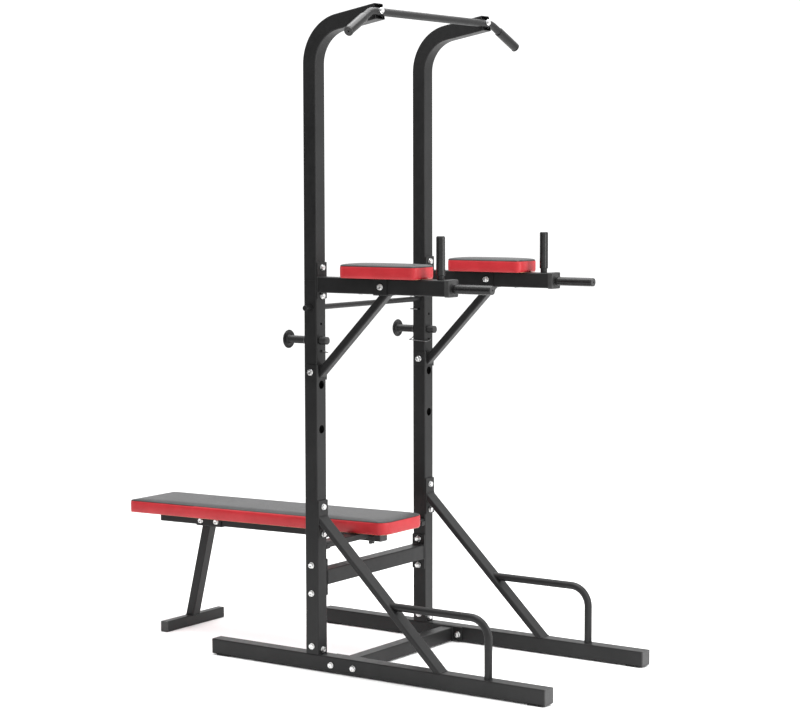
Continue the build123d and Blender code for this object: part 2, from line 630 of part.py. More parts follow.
arm_screw_spots = [(sign * UPRIGHT_X, y) for sign in SIDES.values() for y in ARM_SCREW_Y]
with BuildPart() as arm_pad_boards:
    inset = 2 * (PAD_WRAP + FIT)
    with BuildSketch(level_plane(arm_top)):
        with Locations(*[(sign * UPRIGHT_X, ARM_PAD_Y) for sign in SIDES.values()]):
            RectangleRounded(ARM_PAD_WIDTH - inset, ARM_PAD_LENGTH - inset, ARM_PAD_CORNER - PAD_WRAP)
    extrude(amount=BOARD)
    drill(level_plane(arm_top), arm_screw_spots, SCREW + PLAY)
save(arm_pad_boards, "arm_pad_boards")

with BuildPart() as arm_pad_screws:
    arm_floor_z = ARM_Z - HALF
    add_hexes(level_plane(0), arm_screw_spots, SCREW_FLATS, arm_floor_z - SCREW_HEAD, arm_floor_z)
    add_rods(level_plane(0), arm_screw_spots, SCREW, arm_floor_z, arm_top + BOARD - 1)
save(arm_pad_screws, "arm_pad_screws")

# ---------------------------------------------------------------- support braces under the arms
ear_gap = HALF + PLAY
ear_outer = ear_gap + BRACKET
upper_bracket_low = ARM_Z - HALF - BRACKET - PLAY
upper_bracket_high = ARM_Z + HALF - 2


def bent_sheet(width, height, sheet=BRACKET, bend=BRACKET_BEND):
    """Draws a bent sheet's U in the current sketch, open to +Y, its floor's underside at y 0."""
    outside = Rectangle(width, height, align=(Align.CENTER, Align.MIN))
    fillet(outside.vertices().group_by(Axis.Y)[0], bend)
    with Locations((0, sheet + height)):
        RectangleRounded(width - 2 * sheet, 2 * height, bend - sheet, mode=Mode.SUBTRACT)


with BuildPart() as brace_upper_brackets:
    for sign in SIDES.values():
        x = sign * UPRIGHT_X
        with BuildSketch(cross_plane(UPPER_BRACKET_REAR)) as u_shape:
            with Locations((x, upper_bracket_low)):
                bent_sheet(2 * ear_outer, upper_bracket_high - upper_bracket_low)
        extrude(u_shape.sketch, amount=UPPER_BRACKET_LENGTH)
        drill(side_plane(x), [BRACE_HEAD_BOLT], BOLT_HOLE)
    ears = brace_upper_brackets.edges().filter_by(Axis.X).group_by(Axis.Z)[-1]
    fillet(ears, BRACKET_CORNER)
save(brace_upper_brackets, "brace_upper_brackets")

with BuildPart() as brace_lower_brackets:
    for sign in SIDES.values():
        x = sign * UPRIGHT_X
        with BuildSketch(level_plane(LOWER_BRACKET_LOW)) as wrap:
            with Locations((x, -ear_outer)):
                bent_sheet(2 * ear_outer, LOWER_BRACKET_DEPTH)
        extrude(wrap.sketch, amount=LOWER_BRACKET_HIGH - LOWER_BRACKET_LOW)
        drill(side_plane(x), [BRACE_FOOT_BOLT], BOLT_HOLE)
    ears = brace_lower_brackets.edges().filter_by(Axis.X).group_by(Axis.Y)[-1]
    fillet(ears, BRACKET_CORNER)
save(brace_lower_brackets, "brace_lower_brackets")

brace_slope = (BRACE_HEAD[1] - BRACE_FOOT[1]) / (BRACE_FOOT[0] - BRACE_HEAD[0])
brace_start = (0.0, BRACE_FOOT[1] + BRACE_FOOT[0] * brace_slope)
brace_end = (-FAR_END, BRACE_FOOT[1] + (BRACE_FOOT[0] + FAR_END) * brace_slope)
with BuildPart() as support_braces:
    for sign in SIDES.values():
        x = sign * UPRIGHT_X
        with BuildLine(side_plane(x)) as brace_line:
            Line(brace_start, brace_end)
        brace_path = brace_line.wire()
        start_plane = Plane(origin=brace_path @ 0, x_dir=(1, 0, 0), z_dir=brace_path % 0)
        with BuildSketch(start_plane) as brace_section:
            tube_profile(BRACE_WIDTH, BRACE_DEPTH)
        sweep(brace_section.sketch, path=brace_path)
    split(bisect_by=cross_plane(-ear_outer), keep=Keep.TOP)
    split(bisect_by=level_plane(upper_bracket_low), keep=Keep.BOTTOM)
save(support_braces, "support_braces")

# ---------------------------------------------------------------- front braces and push-up handles
front_run = (FRONT_BRACE_LOW[0] - FRONT_BRACE_TOP[0], FRONT_BRACE_LOW[1] - FRONT_BRACE_TOP[1])
front_length = (front_run[0] ** 2 + front_run[1] ** 2) ** 0.5
front_way = (front_run[0] / front_length, front_run[1] / front_length)
face_normal = (front_way[1], -front_way[0])  # square to the brace's upper face, up and forward
axis_offset = -FRONT_BRACE_DEPTH / 2


def front_brace_point(length):
    """(y, z) on the front brace's centre line, a length down from its top."""
    y = FRONT_BRACE_TOP[0] + front_way[0] * length + face_normal[0] * axis_offset
    z = FRONT_BRACE_TOP[1] + front_way[1] * length + face_normal[1] * axis_offset
    return (y, z)


with BuildPart() as front_braces:
    for sign in SIDES.values():
        with BuildLine(side_plane(sign * UPRIGHT_X)) as front_line:
            Line(front_brace_point(-TUBE), front_brace_point(front_length + TUBE))
        front_path = front_line.wire()
        start_plane = Plane(origin=front_path @ 0, x_dir=(1, 0, 0), z_dir=front_path % 0)
        with BuildSketch(start_plane) as front_section:
            tube_profile(FRONT_BRACE_WIDTH, FRONT_BRACE_DEPTH)
        sweep(front_section.sketch, path=front_path)
    split(bisect_by=cross_plane(-HALF - PLATE), keep=Keep.TOP)
    split(bisect_by=level_plane(BASE_TOP), keep=Keep.TOP)
save(front_braces, "front_braces")

with BuildPart() as front_brace_plates:
    with BuildSketch(cross_plane(-HALF)):
        for sign in SIDES.values():
            with Locations((sign * UPRIGHT_X, (FRONT_PLATE_LOW + FRONT_PLATE_HIGH) / 2)):
                RectangleRounded(TUBE, FRONT_PLATE_HIGH - FRONT_PLATE_LOW, PLATE_CORNER)
            with Locations(*[(sign * UPRIGHT_X, z) for z in FRONT_BOLT_Z]):
                Circle(BOLT_HOLE / 2, mode=Mode.SUBTRACT)
    extrude(amount=PLATE)
    front_faces = front_brace_plates.faces().filter_by(Axis.Y).group_by(Axis.Y)[0]
    fillet([f.outer_wire().edges() for f in front_faces], PLATE_EDGE)
save(front_brace_plates, "front_brace_plates")

for side, sign in SIDES.items():
    x = sign * UPRIGHT_X
    brace_face = Plane(
        origin=point_at(x, *FRONT_BRACE_TOP),
        x_dir=(1, 0, 0),
        z_dir=(0, face_normal[0], face_normal[1]),
    )
    with BuildPart() as push_up_handle:
        with BuildLine(side_plane(x)) as handle_route:
            FilletPolyline(
                (PUSH_UP_START, PUSH_UP_Z),
                (PUSH_UP_Y, PUSH_UP_Z),
                (PUSH_UP_Y, BASE_TOP),
                radius=PUSH_UP_BEND,
            )
        with BuildSketch(cross_plane(PUSH_UP_START)) as handle_section:
            with Locations((x, PUSH_UP_Z)):
                ring_profile(BAR_DIAMETER, BAR_DIAMETER - 2 * WALL)
        sweep(handle_section.sketch, path=handle_route.wire())
        split(bisect_by=brace_face, keep=Keep.TOP)
    save(push_up_handle, f"push_up_handle_{side}")

# ---------------------------------------------------------------- bench cradles on the uprights
with BuildPart() as bench_cradles:
    cradle_low = CROSS_TUBE_Z - CROSS_TUBE_HEIGHT / 2 - FIT - BRACKET
    for sign in SIDES.values():
        with BuildSketch(side_plane(sign * INNER_X)) as cradle:
            with Locations((CROSS_TUBE_Y, cradle_low)):
                bent_sheet(CROSS_TUBE_DEPTH + 1 + 2 * BRACKET, CRADLE_HEIGHT)
        extrude(cradle.sketch, amount=-sign * CRADLE_LENGTH)
save(bench_cradles, "bench_cradles")

# ---------------------------------------------------------------- frame fasteners
frame_bolt_runs = [
    (cross_plane(0), [(sign * UPRIGHT_X, FOOT_BOLT_FRONT_Z) for sign in SIDES.values()], HALF, -HALF),
    (
        cross_plane(0),
        [(sign * UPRIGHT_X, z) for sign in SIDES.values() for z in FRONT_BOLT_Z + ARM_BOLT_Z],
        HALF + PLATE,
        -HALF,
    ),
    (bar_plane, post_ends, BAR_DIAMETER / 2, seat_front - SEAT),
]
crossbar_bolts = [*[(0, z) for z in CROSSBAR_BOLT_Z], *[(y, BASE_BAR_Z) for y in BASE_BAR_BOLT_Y]]
for sign in SIDES.values():
    ear_far = sign * (UPRIGHT_X - ear_outer)
    frame_bolt_runs += [
        (side_plane(0), [(0, FOOT_BOLT_SIDE_Z)], sign * OUTER_X, sign * INNER_X),
        (side_plane(0), crossbar_bolts, sign * OUTER_X, sign * (INNER_X - PLATE)),
        (side_plane(0), [BRACE_HEAD_BOLT, BRACE_FOOT_BOLT], sign * (UPRIGHT_X + ear_outer), ear_far),
    ]

with BuildPart() as frame_bolts:
    for plane, points, near, far in frame_bolt_runs:
        add_bolts(plane, points, near, far)
save(frame_bolts, "frame_bolts")

with BuildPart() as frame_washers:
    for plane, points, near, far in frame_bolt_runs:
        add_washers(plane, points, near, far)
save(frame_washers, "frame_washers")

with BuildPart() as frame_nuts:
    for plane, points, near, far in frame_bolt_runs:
        add_nuts(plane, points, near, far)
save(frame_nuts, "frame_nuts")

# ---------------------------------------------------------------- barbell catches and their clips
for side, sign in SIDES.items():
    spot = [(sign * UPRIGHT_X, CATCH_Z)]
    with BuildPart() as catch_rod:
        bore = CATCH_DIAMETER - 2 * WALL
        add_rods(cross_plane(0), spot, CATCH_DIAMETER, CATCH_FRONT - CAP, -CATCH_REAR, bore)
        add_rods(cross_plane(0), spot, CATCH_DISC_DIAMETER, -CATCH_REAR, -CATCH_REAR - CATCH_DISC)
        disc_rims = catch_rod.edges().filter_by(GeomType.CIRCLE).group_by(lambda e: round(e.radius, 1))[-1]
        fillet(disc_rims, CATCH_DISC_EDGE)
    save(catch_rod, f"catch_rod_{side}")

    with BuildPart() as catch_plug:
        add_rods(cross_plane(0), spot, CATCH_DIAMETER, CATCH_FRONT - CAP, CATCH_FRONT)
        add_rods(cross_plane(0), spot, bore - FIT, CATCH_FRONT - CAP - INSERT, CATCH_FRONT - CAP)
        fillet(catch_plug.faces().sort_by(Axis.Y)[0].edges(), GRIP_EDGE)
    save(catch_plug, f"catch_plug_{side}")

    x = sign * UPRIGHT_X
    eye_y = HALF + EYE_STANDOFF
    eye_radius = CATCH_DIAMETER / 2 + WIRE_GAP + WIRE / 2
    run_x = sign * (INNER_X - WIRE_STANDOFF)
    pin_z = CATCH_PIN_Z[0]
    bow_y = -HALF - CLIP_BOW
    with BuildPart() as catch_clip:
        with Locations(Location(point_at(x, eye_y, CATCH_Z), (90, 0, 0))):
            Torus(eye_radius, WIRE / 2)
        add_wire(
            point_at(x, eye_y, CATCH_Z - eye_radius),
            [
                point_at(x, eye_y + 2, pin_z + 9),
                point_at(x - sign * 6, eye_y + 10, pin_z - 1),
                point_at(run_x, eye_y + 4, pin_z - 2),
                point_at(run_x, bow_y, pin_z - CLIP_SAG),
                point_at(x, bow_y, pin_z),
                point_at(x, -HALF + TIP_DEPTH, pin_z),
            ],
            [4.0, 5.0, 6.0, 8.0, 6.0],
        )
    save(catch_clip, f"catch_clip_{side}")

# ---------------------------------------------------------------- cross rod and its clip
with BuildPart() as cross_rod:
    add_rods(side_plane(0), [(0, CROSS_ROD_Z)], CROSS_ROD_DIAMETER, CROSS_ROD_LEFT, CROSS_ROD_RIGHT)
    head_start = CROSS_ROD_RIGHT - CROSS_ROD_HEAD
    add_rods(side_plane(0), [(0, CROSS_ROD_Z)], CROSS_ROD_HEAD_DIAMETER, head_start, CROSS_ROD_RIGHT)
    fillet(cross_rod.faces().sort_by(Axis.X)[0].edges(), GRIP_EDGE)
save(cross_rod, "cross_rod")

with BuildPart() as cross_rod_clip:
    eye_x = OUTER_X + EYE_STANDOFF
    rod_eye_radius = CROSS_ROD_DIAMETER / 2 + WIRE_GAP + WIRE / 2
    run_y = HALF + WIRE_STANDOFF
    bow_x = INNER_X - CROSS_CLIP_BOW
    with Locations(Location(point_at(eye_x, 0, CROSS_ROD_Z), (0, 90, 0))):
        Torus(rod_eye_radius, WIRE / 2)
    add_wire(
        point_at(eye_x, 0, CROSS_ROD_Z - rod_eye_radius),
        [
            point_at(eye_x + 2, 0, CROSS_PIN_Z + 12),
            point_at(eye_x + 8, 8, CROSS_PIN_Z),
            point_at(eye_x + 3, run_y, CROSS_PIN_Z),
            point_at(bow_x, run_y, CROSS_PIN_Z),
            point_at(bow_x, 0, CROSS_PIN_Z),
            point_at(INNER_X + TIP_DEPTH, 0, CROSS_PIN_Z),
        ],
        [4.0, 5.0, 6.0, 10.0, 10.0],
    )
save(cross_rod_clip, "cross_rod_clip")


# ---------------------------------------------------------------- bench
def bench_outline(inset):
    """Draws the bench pad's plan, drawn in by an inset, in the current sketch."""
    length = BENCH_REAR - BENCH_FRONT - 2 * inset
    width = BENCH_WIDTH - 2 * inset
    with Locations((0, (BENCH_REAR + BENCH_FRONT) / 2)):
        outline = Rectangle(width, length)
    front_corners = outline.vertices().group_by(Axis.Y)[0]
    rear_corners = outline.vertices().group_by(Axis.Y)[-1]
    fillet(front_corners, BENCH_FRONT_CORNER - inset)
    fillet(rear_corners, BENCH_REAR_CORNER - inset)


with BuildPart() as bench_pad:
    with BuildSketch(bench_plane(RAIL)) as pad_plan:
        bench_outline(0)
    extrude(pad_plan.sketch, amount=BENCH_HEIGHT)
    fillet(bench_pad.faces().sort_by(Axis.Z)[-1].edges(), PAD_CROWN)
    with BuildSketch(bench_plane(RAIL)) as pocket_plan:
        bench_outline(PAD_WRAP)
    extrude(pocket_plan.sketch, amount=BENCH_BOARD + FIT, mode=Mode.SUBTRACT)
save(bench_pad, "bench_pad")

bench_screw_spots = [(0, y) for y in BENCH_SCREW_Y]
with BuildPart() as bench_board:
    with BuildSketch(bench_plane(RAIL)) as board_plan:
        bench_outline(PAD_WRAP + FIT)
    extrude(board_plan.sketch, amount=BENCH_BOARD)
    drill(bench_plane(RAIL), bench_screw_spots, SCREW + PLAY)
save(bench_board, "bench_board")

with BuildPart() as bench_pad_screws:
    add_hexes(bench_plane(0), bench_screw_spots, SCREW_FLATS, -SCREW_HEAD, 0)
    add_rods(bench_plane(0), bench_screw_spots, SCREW, 0, RAIL + BENCH_BOARD - 1)
save(bench_pad_screws, "bench_pad_screws")

with BuildPart() as bench_rail:
    with BuildSketch(bench_cross_plane(RAIL_REAR - CAP)) as rail_section:
        with Locations((0, RAIL / 2)):
            tube_profile(RAIL, RAIL)
    extrude(rail_section.sketch, amount=RAIL_REAR - RAIL_FRONT - 2 * CAP)
    with BuildSketch(side_plane(0)) as window:
        with Locations((CROSS_TUBE_Y, CROSS_TUBE_Z)):
            Rectangle(CROSS_TUBE_DEPTH + 1, CROSS_TUBE_HEIGHT + 1)
    extrude(window.sketch, amount=RAIL, both=True, mode=Mode.SUBTRACT)
    drill(bench_plane(0), bench_screw_spots, SCREW + 1, RAIL + WALL)
    drill(level_plane(RAIL_BOTTOM), [(0, 0)], BOLT_HOLE, 2 * WALL)
    drill(bench_side_plane(0), [(y, LEG_BOLT_HEIGHT) for y in LEG_BOLT_Y], BOLT_HOLE)
save(bench_rail, "bench_rail")

with BuildPart() as bench_cross_tube:
    with BuildSketch(side_plane(-CROSS_TUBE_HALF_LENGTH)):
        with Locations((CROSS_TUBE_Y, CROSS_TUBE_Z)):
            tube_profile(CROSS_TUBE_DEPTH, CROSS_TUBE_HEIGHT, corner=SLEEVE_CORNER)
    extrude(amount=2 * CROSS_TUBE_HALF_LENGTH)
    drill(level_plane(CROSS_TUBE_Z - CROSS_TUBE_HEIGHT / 2), [(0, 0)], BOLT_HOLE, 2 * WALL)
save(bench_cross_tube, "bench_cross_tube")

leg_ear_outer = RAIL / 2 + 2 * PLAY + BRACKET
with BuildPart() as bench_leg_bracket:
    bracket_rear = (sum(LEG_BOLT_Y) + LEG_BRACKET_LENGTH) / 2
    with BuildSketch(bench_cross_plane(bracket_rear)) as leg_u:
        with Locations((0, -BRACKET - PLAY)):
            bent_sheet(2 * leg_ear_outer, LEG_BRACKET_HEIGHT)
    extrude(leg_u.sketch, amount=LEG_BRACKET_LENGTH)
    drill(bench_side_plane(0), [(y, LEG_BOLT_HEIGHT) for y in LEG_BOLT_Y], BOLT_HOLE)
    with BuildSketch(bench_side_plane(0)) as ear_outline:
        with Locations((sum(LEG_BOLT_Y) / 2, -BRACKET - PLAY)):
            ear = Rectangle(LEG_BRACKET_LENGTH, LEG_BRACKET_HEIGHT, align=(Align.CENTER, Align.MIN))
        fillet(ear.vertices().group_by(Axis.Y)[-1], BRACKET_CORNER)
    extrude(ear_outline.sketch, amount=RAIL, both=True, mode=Mode.INTERSECT)
save(bench_leg_bracket, "bench_leg_bracket")

leg_lean = (LEG_FOOT[0] - LEG_TOP[0]) / (LEG_TOP[1] - LEG_FOOT[1])
with BuildPart() as bench_leg:
    with BuildLine(side_plane(0)) as leg_line:
        leg_start = (LEG_TOP[0] - TUBE * leg_lean, LEG_TOP[1] + TUBE)
        Line(leg_start, (LEG_FOOT[0] + HALF * leg_lean, LEG_FOOT[1] - HALF))
    leg_path = leg_line.wire()
    with BuildSketch(Plane(origin=leg_path @ 0, x_dir=(1, 0, 0), z_dir=leg_path % 0)) as leg_section:
        tube_profile(LEG_WIDTH, LEG_DEPTH)
    sweep(leg_section.sketch, path=leg_path)
    split(bisect_by=bench_plane(-BRACKET - PLAY), keep=Keep.BOTTOM)
    split(bisect_by=level_plane(FOOT_HEIGHT), keep=Keep.TOP)
save(bench_leg, "bench_leg")

foot_centre = (LEG_FOOT[0], FOOT_HEIGHT / 2)
with BuildPart() as bench_foot_tube:
    with BuildSketch(side_plane(CAP - FOOT_LENGTH / 2)):
        with Locations(foot_centre):
            tube_profile(FOOT_DEPTH, FOOT_HEIGHT)
    extrude(amount=FOOT_LENGTH - 2 * CAP)
save(bench_foot_tube, "bench_foot_tube")

with BuildPart() as bench_end_caps:
    for start, inward in ((RAIL_FRONT + CAP, -1), (RAIL_REAR - CAP, 1)):
        with BuildSketch(bench_cross_plane(start)) as rail_cap:
            with Locations((0, RAIL / 2)):
                RectangleRounded(RAIL, RAIL, CORNER)
        extrude(rail_cap.sketch, amount=-inward * CAP)
        with BuildSketch(bench_cross_plane(start)) as rail_insert:
            with Locations((0, RAIL / 2)):
                tube_profile(RAIL - 2 * WALL - 2 * FIT, RAIL - 2 * WALL - 2 * FIT)
        extrude(rail_insert.sketch, amount=inward * INSERT)
    for sign in SIDES.values():
        with BuildSketch(side_plane(sign * (FOOT_LENGTH / 2 - CAP))) as foot_cap:
            with Locations(foot_centre):
                RectangleRounded(FOOT_DEPTH, FOOT_HEIGHT, CORNER)
        extrude(foot_cap.sketch, amount=sign * CAP)
        with BuildSketch(side_plane(sign * (FOOT_LENGTH / 2 - CAP))) as foot_insert:
            with Locations(foot_centre):
                narrowing = 2 * WALL + 2 * FIT
                tube_profile(FOOT_DEPTH - narrowing, FOOT_HEIGHT - narrowing)
        extrude(foot_insert.sketch, amount=-sign * INSERT)
save(bench_end_caps, "bench_end_caps")

spacer_top = RAIL_BOTTOM - 2 * PLAY
spacer_low = spacer_top - SPACER_HEIGHT
with BuildPart() as bench_spacer:
    add_rods(level_plane(0), [(0, 0)], WASHER_DIAMETER, spacer_low, spacer_top, WASHER_BORE)
save(bench_spacer, "bench_spacer")

leg_bolt_spots = [(y, LEG_BOLT_HEIGHT) for y in LEG_BOLT_Y]
cross_tube_floor = CROSS_TUBE_Z - CROSS_TUBE_HEIGHT / 2 + WALL
with BuildPart() as bench_bolts:
    add_bolts(bench_side_plane(0), leg_bolt_spots, -leg_ear_outer, leg_ear_outer)
    head_top = cross_tube_floor + PIVOT_HEAD
    add_rods(level_plane(0), [(0, 0)], PIVOT_HEAD_DIAMETER, cross_tube_floor, head_top)
    add_rods(level_plane(0), [(0, 0)], BOLT, spacer_low - PIVOT_NUT - WALL, cross_tube_floor)
save(bench_bolts, "bench_bolts")

with BuildPart() as bench_nuts_and_washers:
    add_washers(bench_side_plane(0), leg_bolt_spots, -leg_ear_outer, leg_ear_outer)
    add_nuts(bench_side_plane(0), leg_bolt_spots, -leg_ear_outer, leg_ear_outer)
    pivot_nut_low = spacer_low - PIVOT_NUT
    add_hexes(level_plane(0), [(0, 0)], HEAD_FLATS, pivot_nut_low, spacer_low, BOLT + PLAY)
save(bench_nuts_and_washers, "bench_nuts_and_washers")
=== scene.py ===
"""The looks of the power tower: finishes, upholstery, grips, catches, fasteners, weld beads,
and the floor, lights and camera. Metres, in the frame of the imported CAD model."""
import json
import math

import bmesh
import bpy
import numpy as np
from mathutils import Matrix, Vector, noise


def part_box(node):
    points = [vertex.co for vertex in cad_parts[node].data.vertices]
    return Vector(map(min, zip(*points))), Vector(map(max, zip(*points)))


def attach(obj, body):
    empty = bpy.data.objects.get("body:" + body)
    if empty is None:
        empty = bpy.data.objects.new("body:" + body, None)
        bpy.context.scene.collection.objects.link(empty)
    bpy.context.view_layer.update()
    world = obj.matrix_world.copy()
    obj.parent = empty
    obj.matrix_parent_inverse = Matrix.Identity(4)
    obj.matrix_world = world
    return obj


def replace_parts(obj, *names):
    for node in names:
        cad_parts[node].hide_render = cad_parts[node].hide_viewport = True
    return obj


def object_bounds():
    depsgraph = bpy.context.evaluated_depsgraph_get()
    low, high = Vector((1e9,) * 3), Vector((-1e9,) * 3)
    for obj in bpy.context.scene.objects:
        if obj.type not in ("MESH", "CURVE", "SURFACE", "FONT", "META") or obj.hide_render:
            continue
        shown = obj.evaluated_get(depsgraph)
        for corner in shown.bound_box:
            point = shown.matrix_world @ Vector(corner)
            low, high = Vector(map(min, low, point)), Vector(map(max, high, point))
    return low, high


MM = 0.001

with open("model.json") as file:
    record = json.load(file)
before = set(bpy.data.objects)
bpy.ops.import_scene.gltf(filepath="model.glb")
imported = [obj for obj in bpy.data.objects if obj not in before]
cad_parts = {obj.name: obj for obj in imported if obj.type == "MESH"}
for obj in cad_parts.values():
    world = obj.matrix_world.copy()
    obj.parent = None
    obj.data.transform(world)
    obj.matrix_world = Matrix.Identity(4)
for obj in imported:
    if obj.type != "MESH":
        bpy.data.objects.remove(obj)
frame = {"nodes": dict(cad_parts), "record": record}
cad_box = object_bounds()
nodes = frame["nodes"]
record = frame["record"]


# ---------------------------------------------------------------- node graphs
class Finish:
    """A procedural material that is built up node by node on a Principled shader."""

    def __init__(self, name, **values):
        self.material = bpy.data.materials.new(name)
        self.material.use_nodes = True
        self.tree = self.material.node_tree
        self.shader = self.tree.nodes["Principled BSDF"]
        self.place = self.add("TexCoord").outputs["Object"]
        for key, value in values.items():
            socket = key.replace("_", " ").title().replace("Ior", "IOR")
            self.shader.inputs[socket].default_value = value

    def add(self, kind, settings=None, **inputs):
        node = self.tree.nodes.new("ShaderNode" + kind)
        for key, value in (settings or {}).items():
            setattr(node, key, value)
        for key, value in inputs.items():
            self.feed(node.inputs[key.replace("_", " ")], value)
        return node

    def feed(self, socket, value):
        if isinstance(value, bpy.types.NodeSocket):
            self.tree.links.new(value, socket)
        else:
            socket.default_value = value

    def noise(self, size, detail=2.0, roughness=0.5, stretch=(1, 1, 1)):
        """Fractal noise whose features are about size metres wide."""
        spot = self.place
        if stretch != (1, 1, 1):
            spot = self.add("Mapping", Vector=self.place, Scale=stretch).outputs[0]
        made = self.add("TexNoise", Vector=spot, Scale=1 / size, Detail=detail, Roughness=roughness)
        return made.outputs[0]

    def remap(self, value, low, high, new_low, new_high):
        made = self.add("MapRange", Value=value)
        limits = {"From Min": low, "From Max": high, "To Min": new_low, "To Max": new_high}
        for key, number in limits.items():
            made.inputs[key].default_value = number
        return made.outputs[0]

    def blend(self, share, a, b):
        """Colour a where share is 0 and b where it is 1."""
        made = self.add("Mix", {"data_type": "RGBA"})
        self.feed(made.inputs[0], share)
        self.feed(made.inputs[6], a)
        self.feed(made.inputs[7], b)
        return made.outputs[2]

    def bump(self, height, depth, under=None):
        """Relief of a depth in metres where height goes from 0 to 1."""
        made = self.add("Bump", Height=height, Distance=depth, Strength=1.0)
        if under is not None:
            self.tree.links.new(under, made.inputs["Normal"])
        return made.outputs[0]

    def paint(self, color=None, roughness=None, normal=None):
        for key, value in (("Base Color", color), ("Roughness", roughness), ("Normal", normal)):
            if value is not None:
                self.feed(self.shader.inputs[key], value)
        return self.material


def gray(value):
    return (value, value, value, 1.0)


# ---------------------------------------------------------------- finishes
def powder_coat():
    """Satin black powder coat: orange peel, slightly uneven gloss and a trace of dust."""
    f = Finish("powder_coat", Specular_IOR_Level=0.27)
    tone = f.remap(f.noise(0.11, 4), 0.35, 0.65, 0.0, 1.0)
    color = f.blend(tone, (0.0085, 0.0085, 0.0087, 1), (0.0118, 0.0118, 0.0120, 1))
    gloss = f.remap(f.noise(0.02, 3), 0.3, 0.7, 0.37, 0.45)
    peel = f.bump(f.noise(0.0014, 1), 0.00005)
    grain = f.bump(f.noise(0.0004, 1), 0.00001, peel)
    return f.paint(color, gloss, grain)


def zinc():
    """Bright zinc plating with a faint bluish bloom and fine scratches."""
    f = Finish("zinc_plate", Metallic=1.0)
    tone = f.remap(f.noise(0.004, 3), 0.35, 0.65, 0.0, 1.0)
    color = f.blend(tone, (0.72, 0.73, 0.75, 1), (0.86, 0.85, 0.82, 1))
    gloss = f.remap(f.noise(0.0012, 3, stretch=(1, 1, 4)), 0.3, 0.7, 0.20, 0.38)
    return f.paint(color, gloss, f.bump(f.noise(0.0006, 2), 0.00001))


def rubber():
    """Soft black grip: closed-cell foam skin with a slight sheen."""
    f = Finish("grip_rubber", Specular_IOR_Level=0.28)
    tone = f.remap(f.noise(0.03, 3), 0.35, 0.65, 0.0, 1.0)
    color = f.blend(tone, gray(0.009), gray(0.013))
    gloss = f.remap(f.noise(0.006, 2), 0.3, 0.7, 0.22, 0.30)
    return f.paint(color, gloss, f.bump(f.noise(0.003, 2), 0.000012))


def plastic():
    """Moulded black plastic with a fine spark-eroded texture."""
    f = Finish("cap_plastic", Roughness=0.45)
    color = f.blend(f.remap(f.noise(0.01, 2), 0.35, 0.65, 0.0, 1.0), gray(0.020), gray(0.028))
    gloss = f.remap(f.noise(0.003, 2), 0.3, 0.7, 0.40, 0.52)
    return f.paint(color, gloss, f.bump(f.noise(0.0005, 2), 0.00004))


def vinyl(name, dark, light):
    """Upholstery vinyl: a leather grain of shallow cells with painted shade in its valleys, fine
    creases and a soft gloss.
    """
    f = Finish(name, Sheen_Weight=0.03, Specular_IOR_Level=0.38)
    warp = f.add("VectorMath", {"operation": "ADD"})
    f.feed(warp.inputs[0], f.place)
    drift = f.add("TexNoise", Vector=f.place, Scale=220.0, Detail=2.0).outputs["Color"]
    shift = f.add("VectorMath", {"operation": "SCALE"}, Scale=0.0012)
    f.feed(shift.inputs[0], drift)
    f.feed(warp.inputs[1], shift.outputs[0])
    cells = f.add(
        "TexVoronoi", {"feature": "DISTANCE_TO_EDGE"}, Vector=warp.outputs[0], Scale=620.0
    ).outputs["Distance"]
    grain = f.remap(cells, 0.0, 0.22, 0.0, 1.0)
    creases = f.noise(0.012, 4, 0.6, (1, 0.4, 1))
    tone = f.remap(f.noise(0.07, 3), 0.35, 0.65, 0.0, 1.0)
    color = f.blend(tone, dark, light)
    # Painted shade: toward the cell edges, which are the grain's valleys, the colour goes up to a
    # quarter of the way to a tone 0.6 as bright.
    valley_shade_color = tuple(0.6 * c for c in dark[:3]) + (1,)
    grain_shaded_color = f.blend(f.remap(grain, 0.0, 1.0, 0.25, 0.0), color, valley_shade_color)
    gloss = f.remap(grain, 0.0, 1.0, 0.52, 0.38)
    relief = f.bump(grain, 0.00007, f.bump(creases, 0.0005))
    return f.paint(grain_shaded_color, gloss, relief)


def plywood():
    """Birch plywood: long grain on its faces and thin glued layers along its edges."""
    f = Finish("plywood", Roughness=0.7)
    grain = f.noise(0.004, 5, 0.6, (1, 0.06, 1))
    streaks = f.remap(grain, 0.3, 0.7, 0.0, 1.0)
    face = f.blend(streaks, (0.50, 0.33, 0.17, 1), (0.66, 0.48, 0.29, 1))
    height = f.add("SeparateXYZ", Vector=f.place).outputs["Z"]
    layers = f.add("Math", {"operation": "PINGPONG"})
    f.feed(layers.inputs[0], height)
    layers.inputs[1].default_value = 0.0015
    dark_layer = f.remap(layers.outputs[0], 0.0, 0.0015, 0.0, 0.45)
    color = f.blend(dark_layer, face, (0.30, 0.18, 0.09, 1))
    return f.paint(color, f.remap(grain, 0.3, 0.7, 0.62, 0.78), f.bump(grain, 0.0001))


def wire():
    """Blackened spring wire, smooth and faintly streaked along its length."""
    f = Finish("spring_wire", Metallic=1.0)
    tone = f.remap(f.noise(0.01, 3), 0.35, 0.65, 0.0, 1.0)
    color = f.blend(tone, gray(0.09), gray(0.16))
    gloss = f.remap(f.noise(0.002, 3), 0.3, 0.7, 0.26, 0.40)
    return f.paint(color, gloss, f.bump(f.noise(0.0008, 2), 0.00002))


def thread():
    """Black sewing thread."""
    f = Finish("sewing_thread", Specular_IOR_Level=0.2)
    fibres = f.noise(0.0003, 2)
    return f.paint(f.blend(fibres, gray(0.012), gray(0.03)), 0.8, f.bump(fibres, 0.0001))


